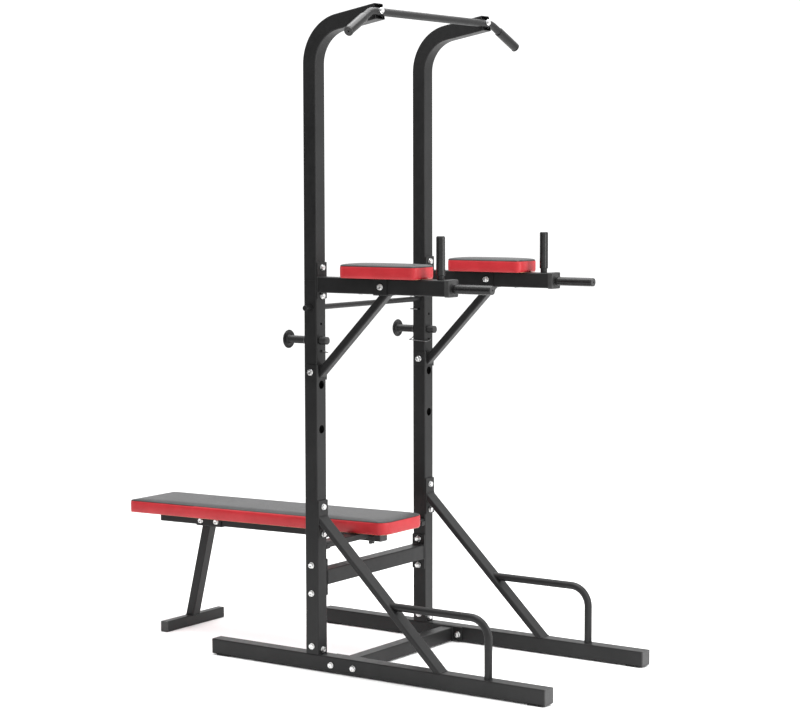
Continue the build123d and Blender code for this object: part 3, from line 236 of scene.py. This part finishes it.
RED_VINYL = vinyl("red_vinyl", (0.41, 0.013, 0.019, 1), (0.49, 0.020, 0.028, 1))
BLACK_VINYL = vinyl("black_vinyl", (0.020, 0.020, 0.021, 1), (0.030, 0.030, 0.031, 1))
THREAD = thread()
FINISHES = {
    "frame_paint": powder_coat(),
    "zinc_plate": zinc(),
    "grip_rubber": rubber(),
    "cap_plastic": plastic(),
    "pad_cover": RED_VINYL,
    "board_wood": plywood(),
    "spring_wire": wire(),
}
slot_of = {part["node"]: part["material_slot"] for part in record["subparts"]}
for node_name, node_object in nodes.items():
    node_object.data.materials.clear()
    node_object.data.materials.append(FINISHES[slot_of[node_name]])


# ---------------------------------------------------------------- shared mesh tools
def corners(node):
    """The points of a CAD node's mesh as an array."""
    return np.array([v.co for v in nodes[node].data.vertices])


def solids(node):
    """The points of each separate solid of a CAD node, as a list of arrays."""
    points = corners(node)
    keys, spot = np.unique(np.round(points / 2e-6).astype(np.int64), axis=0, return_inverse=True)
    spot = spot.ravel()
    root = np.arange(len(keys))
    faces = [[spot[i] for i in p.vertices] for p in nodes[node].data.polygons]
    edges = np.array([(a, b) for face in faces for a, b in zip(face, face[1:])])
    while True:
        low = np.minimum(root[edges[:, 0]], root[edges[:, 1]])
        merged = root.copy()
        np.minimum.at(merged, edges[:, 0], low)
        np.minimum.at(merged, edges[:, 1], low)
        merged = merged[merged]
        if (merged == root).all():
            break
        root = merged
    return [points[root[spot] == r] for r in np.unique(root)]


def long_axis(points):
    """(start, end, radius) of a round solid along its axis. It starts at the wider end."""
    middle = (points.min(0) + points.max(0)) / 2
    spread, rotation = np.linalg.svd(points - points.mean(0), full_matrices=False)[1:]
    way = rotation[0 if spread[0] - spread[1] > spread[1] - spread[2] else 2]
    flat = np.eye(3)[np.argmax(np.abs(way))] * np.sign(way[np.argmax(np.abs(way))])
    if abs(way @ flat) > 0.999:
        way = flat
    along = (points - middle) @ way
    radius = np.linalg.norm(points - middle - np.outer(along, way), axis=1)
    start, end = Vector(middle + along.min() * way), Vector(middle + along.max() * way)
    near = radius[along < along.min() + 0.002].max()
    far = radius[along > along.max() - 0.002].max()
    return (end, start, radius.max()) if far > near + 1e-4 else (start, end, radius.max())


def piece(name, verts, faces, material, body="frame", smooth_angle=35):
    """A mesh piece that rides on a body, with edges sharper than an angle left crisp."""
    mesh = bpy.data.meshes.new(name)
    mesh.from_pydata([tuple(v) for v in verts], [], faces)
    mesh.validate()
    finish_mesh(mesh, [material], smooth_angle)
    made = bpy.data.objects.new(name, mesh)
    bpy.context.scene.collection.objects.link(made)
    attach(made, body)
    return made


def finish_mesh(mesh, materials, smooth_angle):
    for material in materials:
        mesh.materials.append(material)
    work = bmesh.new()
    work.from_mesh(mesh)
    bmesh.ops.recalc_face_normals(work, faces=work.faces)
    limit = math.radians(smooth_angle)
    for face in work.faces:
        face.smooth = True
    for edge in work.edges:
        edge.smooth = len(edge.link_faces) == 2 and edge.calc_face_angle() < limit
    work.to_mesh(mesh)
    work.free()


class Build:
    """Collects the points and faces of one piece that is made of many shapes."""

    def __init__(self):
        self.verts = []
        self.faces = []

    def add(self, verts, faces):
        first = len(self.verts)
        self.verts += [tuple(v) for v in verts]
        self.faces += [tuple(i + first for i in face) for face in faces]

    def turned(self, start, end, profile, segments=40, sides=None, turn=0.0):
        """A shape turned about the line from start to end. The profile is (along, radius) pairs,
        closed on the axis where a radius is 0. sides makes a prism such as a hexagon instead:
        a function of the profile's radius and the angle gives the real radius."""
        axis = (end - start).normalized()
        across = axis.orthogonal().normalized()
        if abs(axis.z) < 0.9:
            across = axis.cross(Vector((0, 0, 1))).normalized()
        up = axis.cross(across)
        verts, faces, rings = [], [], []
        for along, radius in profile:
            if radius == 0:
                rings.append([len(verts)])
                verts.append(start + axis * along)
                continue
            ring = []
            for i in range(segments):
                angle = 2 * math.pi * i / segments
                real = sides(radius, angle) if sides else radius
                ring.append(len(verts))
                way = across * math.cos(angle + turn) + up * math.sin(angle + turn)
                verts.append(start + axis * along + way * real)
            rings.append(ring)
        for a, b in zip(rings, rings[1:]):
            for i in range(segments):
                j = (i + 1) % segments
                corner = [a[i % len(a)], a[j % len(a)], b[j % len(b)], b[i % len(b)]]
                faces.append(tuple(dict.fromkeys(corner)))
        self.add(verts, faces)

    def finish(self, name, material, body="frame", smooth_angle=35):
        return piece(name, self.verts, self.faces, material, body, smooth_angle)


def arc(centre, radius, start, end, steps):
    """(along, radius) points on an arc of a turned profile, by angles in degrees."""
    angles = [math.radians(start + (end - start) * i / steps) for i in range(steps + 1)]
    return [(centre[0] + radius * math.cos(a), centre[1] + radius * math.sin(a)) for a in angles]


# ---------------------------------------------------------------- fasteners
HEX_FLATS = 16.0 * MM
HEX_CORNER = HEX_FLATS / 2 / math.cos(math.pi / 6)
HEAD_HEIGHT = 5.5 * MM
SHANK = 5.0 * MM  # radius of an M10 thread, as are the nuts' bores
WASHER_BORE = 5.25 * MM
WASHER_MAX = 2.5 * MM  # anything thicker is a nut
THREAD_LENGTH = 16 * MM
THREAD_PITCH = 1.5 * MM
THREAD_DEPTH = 0.75 * MM
CRISP = 25  # degrees: edges sharper than this stay sharp on fasteners


def hexagon(flats):
    """Radius function of a hexagon whose corners are rounded off by the profile's radius."""
    def radius_at(profile_radius, angle):
        wedge = (angle + math.pi / 6) % (math.pi / 3) - math.pi / 6
        return min(profile_radius, flats / 2 / math.cos(wedge))
    return radius_at


def add_bolt(build, points, number):
    head, tail, _ = long_axis(points)
    length = (tail - head).length
    dish = [(0.5 * MM, 0.0), (0.5 * MM, 3.6 * MM), (0.05 * MM, 4.6 * MM), (0.0, 0.44 * HEX_FLATS)]
    sides = [(0.35 * MM, 0.505 * HEX_FLATS), (0.9 * MM, HEX_CORNER), (HEAD_HEIGHT, HEX_CORNER)]
    under = [(HEAD_HEIGHT, SHANK)]
    build.turned(head, tail, dish + sides + under, 48, hexagon(HEX_FLATS), number * 2.4)
    along = length - THREAD_LENGTH
    profile = [(HEAD_HEIGHT, SHANK - 0.02 * MM), (along, SHANK)]
    while along < length - 1.6 * MM:
        profile += [(along, SHANK), (along + THREAD_PITCH / 2, SHANK - THREAD_DEPTH)]
        along += THREAD_PITCH
    profile += [(length - 0.8 * MM, SHANK - 0.2 * MM), (length, SHANK - 1.2 * MM), (length, 0.0)]
    build.turned(head, tail, profile, 24)


def add_nut(build, points, number):
    start, end, _ = long_axis(points)
    height = (end - start).length
    half = [(0.9 * MM, SHANK), (0.0, SHANK + 0.7 * MM), (0.0, 0.45 * HEX_FLATS),
            (0.3 * MM, 0.5 * HEX_FLATS), (0.8 * MM, HEX_CORNER)]
    profile = half + [(height - along, radius) for along, radius in half[::-1]] + half[:1]
    build.turned(start, end, profile, 48, hexagon(HEX_FLATS), number * 1.7)


def add_washer(build, points):
    start, end, radius = long_axis(points)
    height, edge = (end - start).length, 0.35 * MM
    profile = [(0, WASHER_BORE), (0, radius - edge), (edge, radius), (height - edge, radius),
               (height, radius - edge), (height, WASHER_BORE), (0, WASHER_BORE)]
    build.turned(start, end, profile, 40)


def is_washer(points):
    start, end, _ = long_axis(points)
    return (end - start).length < WASHER_MAX


def fasteners():
    """Detailed bolts, nuts and washers, each where its CAD solid is."""
    metal = FINISHES["zinc_plate"]
    for node, body in (("frame_bolts", "frame"), ("bench_bolts", "bench")):
        build = Build()
        for number, points in enumerate(solids(node)):
            add_bolt(build, points, number)
        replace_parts(build.finish(node + "_detailed", metal, body, CRISP), node)
    nut_nodes = {"frame_nuts": "frame", "frame_washers": "frame", "bench_nuts_and_washers": "bench"}
    for node, body in nut_nodes.items():
        build = Build()
        for number, points in enumerate(solids(node)):
            if is_washer(points):
                add_washer(build, points)
            else:
                add_nut(build, points, number)
        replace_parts(build.finish(node + "_detailed", metal, body, CRISP), node)


fasteners()


# ---------------------------------------------------------------- grips and plugs
HANDLE_GRIP_BORE = 11.1 * MM
BAR_GRIP_BORE = 12.6 * MM


def add_grip(build, start, end, radius, bore):
    """A moulded grip: rolled collars at both ends of a very slightly swollen body."""
    length = (end - start).length
    lip = 0.0016
    profile = [(0.0, bore)]
    profile += [(0.0, radius - lip)] + arc((lip, radius - lip), lip, 180, 90, 4)
    steps = 24
    for i in range(1, steps):
        t = i / steps
        profile.append((lip + (length - 2 * lip) * t, radius + 0.00025 * math.sin(math.pi * t)))
    profile += arc((length - lip, radius - lip), lip, 90, 0, 4) + [(length, bore), (0.0, bore)]
    build.turned(start, end, profile, 64)


def grips():
    foam = FINISHES["grip_rubber"]
    arm_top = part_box("dip_arm_left")[1].z
    build = Build()
    for points in solids("dip_handle_grips"):
        start, end, radius = long_axis(points)
        if points[:, 2].min() > arm_top:
            low, high = sorted((start, end), key=lambda p: p.z)
            lip, top_round = 1.6 * MM, 5 * MM
            length = (high - low).length
            profile = [(0.0, HANDLE_GRIP_BORE), (0.0, radius - lip)]
            profile += arc((lip, radius - lip), lip, 180, 90, 4)
            profile += [(length * i / 12, radius) for i in range(1, 12)]
            profile += arc((length - top_round, radius - top_round), top_round, 90, 0, 8)
            profile += [(length, radius * 0.3), (length, 0.0)]
            build.turned(low, high, profile, 64)
        else:
            back, front = sorted((start, end), key=lambda p: -p.y)
            add_grip(build, back, front, radius, HANDLE_GRIP_BORE)
    made = build.finish("dip_handle_grips_moulded", foam, "frame")
    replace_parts(made, "dip_handle_grips")
    build = Build()
    for points in solids("pull_up_grips"):
        start, end, radius = long_axis(points)
        inner, outer = sorted((start, end), key=lambda p: abs(p.x))
        add_grip(build, inner, outer, radius, BAR_GRIP_BORE)
    made = build.finish("pull_up_grips_moulded", foam, "frame")
    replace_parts(made, "pull_up_grips")


def plugs():
    """End plugs with a raised rim, a sunk face and a moulding hole in the middle."""
    for node, stem in (("handle_end_plugs", 8.8 * MM), ("pull_up_end_plugs", 10.3 * MM)):
        build = Build()
        for points in solids(node):
            flange, tip, radius = long_axis(points)
            rim = 1.0 * MM
            inner = [(0.9 * MM, radius - 3.2 * MM), (0.9 * MM, 4.4 * MM), (0.3 * MM, 3.9 * MM)]
            profile = [(5 * MM, 0.0), (5 * MM, 2.6 * MM), (0.3 * MM, 3.1 * MM)] + inner[::-1]
            profile += [(0.0, radius - 2.4 * MM), (0.0, radius - rim)]
            profile += arc((rim, radius - rim), rim, 180, 90, 4)
            profile += [(3.0 * MM, radius), (3.0 * MM, stem), ((tip - flange).length, stem)]
            profile += [((tip - flange).length, 0.0)]
            build.turned(flange, tip, profile, 48)
        made = build.finish(node + "_moulded", FINISHES["cap_plastic"], "frame")
        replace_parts(made, node)


grips()
plugs()


# ---------------------------------------------------------------- barbell catches
CATCH_ROD = 12.5 * MM
CATCH_BORE = 10.5 * MM
CATCH_DISC = 6 * MM
CATCH_PLUG_STEM = 10.3 * MM


def catches():
    """Each catch: a round tube with a pressed end disc that is dished, with a rolled rim."""
    for side in ("left", "right"):
        node = f"catch_rod_{side}"
        low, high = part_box(node)
        x, z = (low.x + high.x) / 2, (low.z + high.z) / 2
        front, rear = Vector((x, low.y, z)), Vector((x, high.y, z))
        length, rod, disc = high.y - low.y, CATCH_ROD, (high.x - low.x) / 2
        face = length - CATCH_DISC
        rim = 2.6 * MM
        profile = [(0.0, CATCH_BORE), (0.0, rod - 0.6 * MM), (0.6 * MM, rod), (face - 3.5 * MM, rod)]
        profile += [(face - 1.4 * MM, rod + 1.0 * MM), (face + 0.4 * MM, rod + 3.4 * MM)]
        profile += [(face + 2.6 * MM, disc - 11 * MM), (face + 2.6 * MM, disc - 7.5 * MM)]
        profile += [(face + 1.4 * MM, disc - 5 * MM), (face + 0.2 * MM, disc - 3.6 * MM)]
        profile += arc((face + rim, disc - rim), rim, 170, 20, 9)
        profile += [(length - 0.5 * MM, disc - 1.6 * MM), (length, disc - 6 * MM), (length, 0.0)]
        build = Build()
        build.turned(front, rear, profile, 72)
        body, paint, smooth_angle = f"catch_{side}", FINISHES["frame_paint"], 50
        made = build.finish(node + "_pressed", paint, body, smooth_angle)
        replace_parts(made, node)
        plug = f"catch_plug_{side}"
        low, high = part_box(plug)
        radius, dome, length = (high.x - low.x) / 2, 2.4 * MM, high.y - low.y
        profile = [(0.0, 0.0), (0.0, radius - 5 * MM), (0.25 * MM, radius - dome - 1 * MM)]
        profile += arc((dome, radius - dome), dome, 160, 90, 6)
        profile += [(4 * MM, radius), (4 * MM, CATCH_PLUG_STEM)]
        profile += [(length, CATCH_PLUG_STEM), (length, 0.0)]
        build = Build()
        build.turned(Vector((x, low.y, z)), Vector((x, high.y, z)), profile, 48)
        made = build.finish(plug + "_moulded", FINISHES["cap_plastic"], body)
        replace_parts(made, plug)


catches()


# ---------------------------------------------------------------- weld beads
BEAD_STEP = 1.1 * MM
ON_PLANE = 0.15 * MM  # how near to its plane a point of a welded end lies
WIDE_BEAD, THIN_BEAD = 2.2 * MM, 1.8 * MM


def hull_loop(points, normal):
    """The convex outline of points that lie on one plane, in order round its normal."""
    normal = normal.normalized()
    across = normal.orthogonal().normalized()
    up = normal.cross(across)
    flat = sorted({(round(p.dot(across), 6), round(p.dot(up), 6)) for p in points})
    depth = sum(p.dot(normal) for p in points) / len(points)

    def half(sequence):
        chain = []
        for p in sequence:
            while len(chain) > 1:
                (ax, ay), (bx, by) = chain[-2], chain[-1]
                if (bx - ax) * (p[1] - ay) - (by - ay) * (p[0] - ax) > 0:
                    break
                chain.pop()
            chain.append(p)
        return chain[:-1]

    outline = half(flat) + half(flat[::-1])
    return [across * a + up * b + normal * depth for a, b in outline]


def evenly(loop, step):
    """Points spaced evenly round a closed loop."""
    closed = loop + [loop[0]]
    lengths = [(b - a).length for a, b in zip(closed, closed[1:])]
    total = sum(lengths)
    count = max(12, round(total / step))
    made, edge, passed = [], 0, 0.0
    for i in range(count):
        target = total * i / count
        while passed + lengths[edge] < target:
            passed += lengths[edge]
            edge += 1
        share = (target - passed) / max(lengths[edge], 1e-9)
        made.append(closed[edge].lerp(closed[edge + 1], share))
    return made


def add_bead(build, loop, normal, width, seed):
    """A weld bead along a closed loop: a low ridge with the ripples of its weld pools."""
    spots = evenly(loop, BEAD_STEP)
    middle = sum(spots, Vector()) / len(spots)
    count, sides = len(spots), 8
    verts = []
    for i, spot in enumerate(spots):
        way = (spots[(i + 1) % count] - spots[i - 1]).normalized()
        outward = way.cross(normal).normalized()
        if outward.dot(spot - middle) < 0:
            outward.negate()
        ripple = 0.5 + 0.5 * math.cos(i * 2 * math.pi / 2.6)
        drift = noise.noise(spot * 90 + Vector((seed, 0, 0)))
        size = width * (0.80 + 0.16 * ripple + 0.22 * drift)
        for k in range(sides):
            angle = 2 * math.pi * k / sides
            verts.append(spot + outward * size * math.cos(angle) + normal * size * math.sin(angle))
    faces = [
        (i * sides + k, i * sides + (k + 1) % sides,
         (i + 1) % count * sides + (k + 1) % sides, (i + 1) % count * sides + k)
        for i in range(count) for k in range(sides)
    ]
    build.add(verts, faces)


def welds_on_plane(build, node, point, normal, width=WIDE_BEAD, seed=0):
    """Beads round the ends of a node's solids that stop at a plane."""
    normal = Vector(normal).normalized()
    for number, points in enumerate(solids(node)):
        spots = [Vector(p) for p in points]
        near = [p for p in spots if abs((p - Vector(point)).dot(normal)) < ON_PLANE]
        if len(near) > 8:
            add_bead(build, hull_loop(near, normal), normal, width, seed + number)


def welds():
    build = Build()
    arm_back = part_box("dip_arm_left")[1]
    welds_on_plane(build, "dip_arm_left", arm_back, (0, 1, 0), seed=1)
    welds_on_plane(build, "dip_arm_right", arm_back, (0, 1, 0), seed=2)
    base_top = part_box("base_tube_left")[1]
    brace_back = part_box("front_braces")[1]
    welds_on_plane(build, "front_braces", brace_back, (0, 1, 0), seed=3)
    welds_on_plane(build, "front_braces", base_top, (0, 0, 1), seed=5)
    for side in ("left", "right"):
        welds_on_plane(build, f"push_up_handle_{side}", base_top, (0, 0, 1), THIN_BEAD, 7)
    for bar in ("lower_crossbar", "base_crossbar"):
        for end, seed in zip(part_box(bar), (9, 11)):
            welds_on_plane(build, bar, end, (1, 0, 0), seed=seed)
    build.finish("frame_welds", FINISHES["frame_paint"], "frame", 80)

    bench = Build()
    foot_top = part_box("bench_foot_tube")[1]
    welds_on_plane(bench, "bench_leg", foot_top, (0, 0, 1), THIN_BEAD, 15)
    bench.finish("bench_welds", FINISHES["frame_paint"], "bench", 80)


welds()


# ---------------------------------------------------------------- upholstery
BENCH_TILT = math.radians(0.86)


def outline_points(width, length, radii, step=5 * MM):
    """A rounded rectangle round the origin; radii are for its -Y and its +Y corners."""
    made = []
    for sx, sy, start in ((1, -1, -90), (1, 1, 0), (-1, 1, 90), (-1, -1, 180)):
        radius = radii[0] if sy < 0 else radii[1]
        centre = Vector((sx * (width / 2 - radius), sy * (length / 2 - radius), 0))
        count = max(3, round(radius * math.pi / 2 / step))
        for i in range(count + 1):
            angle = math.radians(start + 90 * i / count)
            made.append(centre + radius * Vector((math.cos(angle), math.sin(angle), 0)))
    return made


def stuffed(name, width, length, height, radii, seam, puff, voxel, shrink):
    """A closed cushion in its own frame, its underside at z 0, blown up by a cloth simulation
    between a held underside and a held seam. Returns the mesh object."""
    build = Build()
    edge = height - seam
    layers = ((0.0, 1.5 * MM), (2 * MM, 0.0), (seam, 0.0), (seam + 0.55 * edge, 1.2 * MM),
              (height - 0.4 * MM, 0.6 * edge + 2 * MM))
    rings = []
    for z, inset in layers:
        inset += shrink
        radius = [max(r - inset, 3 * MM) for r in radii]
        loop = evenly(outline_points(width - 2 * inset, length - 2 * inset, radius), 5 * MM)
        rings.append([p + Vector((0, 0, z)) for p in loop[: len(rings[0]) if rings else None]])
    count = min(len(r) for r in rings)
    rings = [[r[round(i * len(r) / count) % len(r)] for i in range(count)] for r in rings]
    for ring in rings:
        build.verts += ring
    for j in range(len(rings) - 1):
        for i in range(count):
            k = (i + 1) % count
            low, high = j * count, (j + 1) * count
            build.faces.append((low + i, low + k, high + k, high + i))
    build.faces.append(tuple(range(count))[::-1])
    build.faces.append(tuple((len(rings) - 1) * count + i for i in range(count)))
    mesh = bpy.data.meshes.new(name)
    mesh.from_pydata(build.verts, [], build.faces)
    made = bpy.data.objects.new(name, mesh)
    bpy.context.scene.collection.objects.link(made)
    bpy.context.view_layer.objects.active = made
    apply_modifier(made, "REMESH", mode="VOXEL", voxel_size=voxel)
    blow_up(made, seam, puff)
    apply_modifier(made, "SUBSURF", levels=1)
    return made


def apply_modifier(made, kind, **settings):
    modifier = made.modifiers.new(kind.lower(), kind)
    for key, value in settings.items():
        setattr(modifier, key, value)
    bpy.context.view_layer.objects.active = made
    bpy.ops.object.modifier_apply(modifier=modifier.name)


def blow_up(made, seam, puff):
    """Twenty frames of cloth under pressure. The underside and the seam are held, and no point
    goes further than puff from where it was."""
    near = 3 * MM
    rest = np.array([v.co for v in made.data.vertices])
    held = made.vertex_groups.new(name="held")
    for i, z in enumerate(rest[:, 2]):
        if z < near:
            held.add([i], 1.0, "REPLACE")
        elif abs(z - seam) < near:
            held.add([i], 0.7, "REPLACE")
    cloth = made.modifiers.new("cloth", "CLOTH")
    cloth.settings.quality = 5
    cloth.settings.mass = 0.3
    cloth.settings.tension_stiffness = 30
    cloth.settings.compression_stiffness = 30
    cloth.settings.shear_stiffness = 15
    cloth.settings.bending_stiffness = 4
    cloth.settings.use_pressure = True
    cloth.settings.uniform_pressure_force = 4.0
    cloth.settings.effector_weights.gravity = 0.0
    cloth.settings.vertex_group_mass = "held"
    cloth.collision_settings.use_collision = False
    for number in range(1, 21):
        bpy.context.scene.frame_set(number)
    graph = bpy.context.evaluated_depsgraph_get()
    moved = np.array([v.co for v in made.evaluated_get(graph).data.vertices])
    made.modifiers.remove(cloth)
    bpy.context.scene.frame_set(1)
    shift = moved - rest
    far = np.linalg.norm(shift, axis=1)
    limit = puff * np.tanh(far / puff) / np.maximum(far, 1e-9)
    settled = rest + shift * limit[:, None]
    settled[:, 2] = np.maximum(settled[:, 2], 0.0)
    made.data.vertices.foreach_set("co", settled.astype(np.float32).ravel())
    made.data.update()


def sew(made, seam, groove=1.5 * MM, width=1.4 * MM):
    """Cuts the seam into the mesh as a sunk line with its row of stitches, and gives the top
    its black panel."""
    work = bmesh.new()
    work.from_mesh(made.data)
    for height in (seam - width, seam, seam + width):
        bmesh.ops.bisect_plane(
            work, geom=work.verts[:] + work.edges[:] + work.faces[:], dist=1e-6,
            plane_co=(0, 0, height), plane_no=(0, 0, 1),
        )
    bmesh.ops.recalc_face_normals(work, faces=work.faces)
    work.normal_update()
    pulls = [(v, v.normal.copy()) for v in work.verts if abs(v.co.z - seam) < 2e-6]
    for vert, normal in pulls:
        vert.co -= Vector((normal.x, normal.y, 0)).normalized() * groove
    made.data.materials.clear()
    for material in (RED_VINYL, BLACK_VINYL, THREAD):
        made.data.materials.append(material)
    for face in work.faces:
        height = face.calc_center_median().z
        face.smooth = True
        face.material_index = 0 if height < seam else 2 if height < seam + width else 1
    work.to_mesh(made.data)
    work.free()


def upholster(node, body, tilt, height, radii, seam, puff, voxel=5 * MM, shrink=1.5 * MM):
    """The covered foam that stands for a CAD pad, tilted with it and standing on its board."""
    low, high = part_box(node)
    size = high - low
    width = size.x
    length = (size.y - height * math.sin(tilt)) / math.cos(tilt)
    made = stuffed(node + "_upholstery", width, length, height, radii, seam, puff, voxel, shrink)
    sew(made, seam)
    centre = (low + high) / 2
    turn = Matrix.Rotation(-tilt, 4, "X")
    lift = turn @ Vector((0, 0, height / 2))
    made.matrix_world = Matrix.Translation(centre - lift) @ turn
    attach(made, body)
    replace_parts(made, node)
    return made


upholster(
    "bench_pad", "bench", BENCH_TILT, height=46 * MM, radii=(40 * MM, 15 * MM), seam=40.5 * MM,
    puff=4 * MM, voxel=6 * MM,
)
for side in ("left", "right"):
    upholster(
        f"arm_pad_{side}", "frame", 0.0, height=44 * MM, radii=(20 * MM, 20 * MM), seam=37 * MM,
        puff=5 * MM,
    )


# ---------------------------------------------------------------- floor, lights and camera
VIEW_AZIMUTH = math.radians(-55.48)
VIEW_ELEVATION = math.radians(4.70)
VIEW_ROLL = math.radians(-0.121)
VIEW_DISTANCE = 6.919
LENS_MM = 94.73
SENSOR_MM = 36.0
AIM_HEIGHT = 1.0034
AIM_FORWARD = 0.117  # how far in front of the uprights' middle plane the camera looks
FLOOR_GAP = 0.0002
FAR_CLIP = 200.0


def stage_material(name, value, roughness=0.9):
    f = Finish(name, Roughness=roughness)
    mottle = f.remap(f.noise(0.8, 2), 0.3, 0.7, 0.98, 1.0)
    tone = f.add("Math", {"operation": "MULTIPLY"})
    f.feed(tone.inputs[0], mottle)
    tone.inputs[1].default_value = value
    return f.paint(tone.outputs[0], roughness)


def add_floor(radius=40.0):
    mesh = bpy.data.meshes.new("floor")
    angles = np.linspace(0, 2 * math.pi, 65)[:-1]
    rim = [(radius * math.cos(a), radius * math.sin(a), 0.0) for a in angles]
    mesh.from_pydata(rim, [], [tuple(range(len(rim)))])
    mesh.materials.append(stage_material("floor_white", 0.96))
    floor = bpy.data.objects.new("floor", mesh)
    bpy.context.scene.collection.objects.link(floor)
    floor.location.z = cad_box[0].z - FLOOR_GAP


def add_area_light(name, place, target, width, height, power):
    light = bpy.data.lights.new(name, "AREA")
    light.shape = "RECTANGLE"
    light.size, light.size_y = width, height
    light.energy = power
    made = bpy.data.objects.new(name, light)
    made.location = place
    made.rotation_euler = (Vector(target) - Vector(place)).to_track_quat("-Z", "Y").to_euler()
    bpy.context.scene.collection.objects.link(made)
    return made


def add_flag(name, place, target, width, height):
    """A black studio flag, seen in reflections but not by the camera."""
    mesh = bpy.data.meshes.new(name)
    w, h = width / 2, height / 2
    mesh.from_pydata([(-w, -h, 0), (w, -h, 0), (w, h, 0), (-w, h, 0)], [], [(0, 1, 2, 3)])
    mesh.materials.append(stage_material(name + "_black", 0.01))
    made = bpy.data.objects.new(name, mesh)
    made.location = place
    made.rotation_euler = (Vector(target) - Vector(place)).to_track_quat("-Z", "Y").to_euler()
    made.visible_camera = False
    bpy.context.scene.collection.objects.link(made)


def add_world(strength):
    world = bpy.data.worlds.new("studio")
    world.use_nodes = True
    background = world.node_tree.nodes["Background"]
    background.inputs["Color"].default_value = (1, 1, 1, 1)
    background.inputs["Strength"].default_value = strength
    bpy.context.scene.world = world


def add_camera():
    uprights_y = sum(c.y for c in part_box("lower_upright_left")) / 2
    aim = Vector((0.0, uprights_y - AIM_FORWARD, AIM_HEIGHT))
    level = math.cos(VIEW_ELEVATION)
    back = Vector((
        math.sin(VIEW_AZIMUTH) * level, -math.cos(VIEW_AZIMUTH) * level, math.sin(VIEW_ELEVATION),
    ))
    camera = bpy.data.cameras.new("camera")
    camera.lens = LENS_MM
    camera.sensor_width = SENSOR_MM
    camera.clip_end = FAR_CLIP
    made = bpy.data.objects.new("camera", camera)
    made.rotation_mode = "QUATERNION"
    roll = Matrix.Rotation(VIEW_ROLL, 3, "Z").to_quaternion()
    made.rotation_quaternion = (-back).to_track_quat("-Z", "Y") @ roll
    made.location = aim + back * VIEW_DISTANCE
    bpy.context.scene.collection.objects.link(made)
    bpy.context.scene.camera = made


add_floor()
add_world(1.2)
add_area_light("strip_front", (0.06, -2.15, 1.35), (0.0, -0.3, 1.2), 0.55, 1.9, 24)
add_area_light("top_soft", (0.2, -0.1, 4.0), (0.0, 0.0, 0.8), 3.2, 3.2, 180)
add_flag("flag_left_rear", (-3.2, 2.6, 1.2), (0.0, 0.0, 1.2), 4.4, 3.4)
add_camera()
bpy.context.scene.view_settings.view_transform = "Standard"
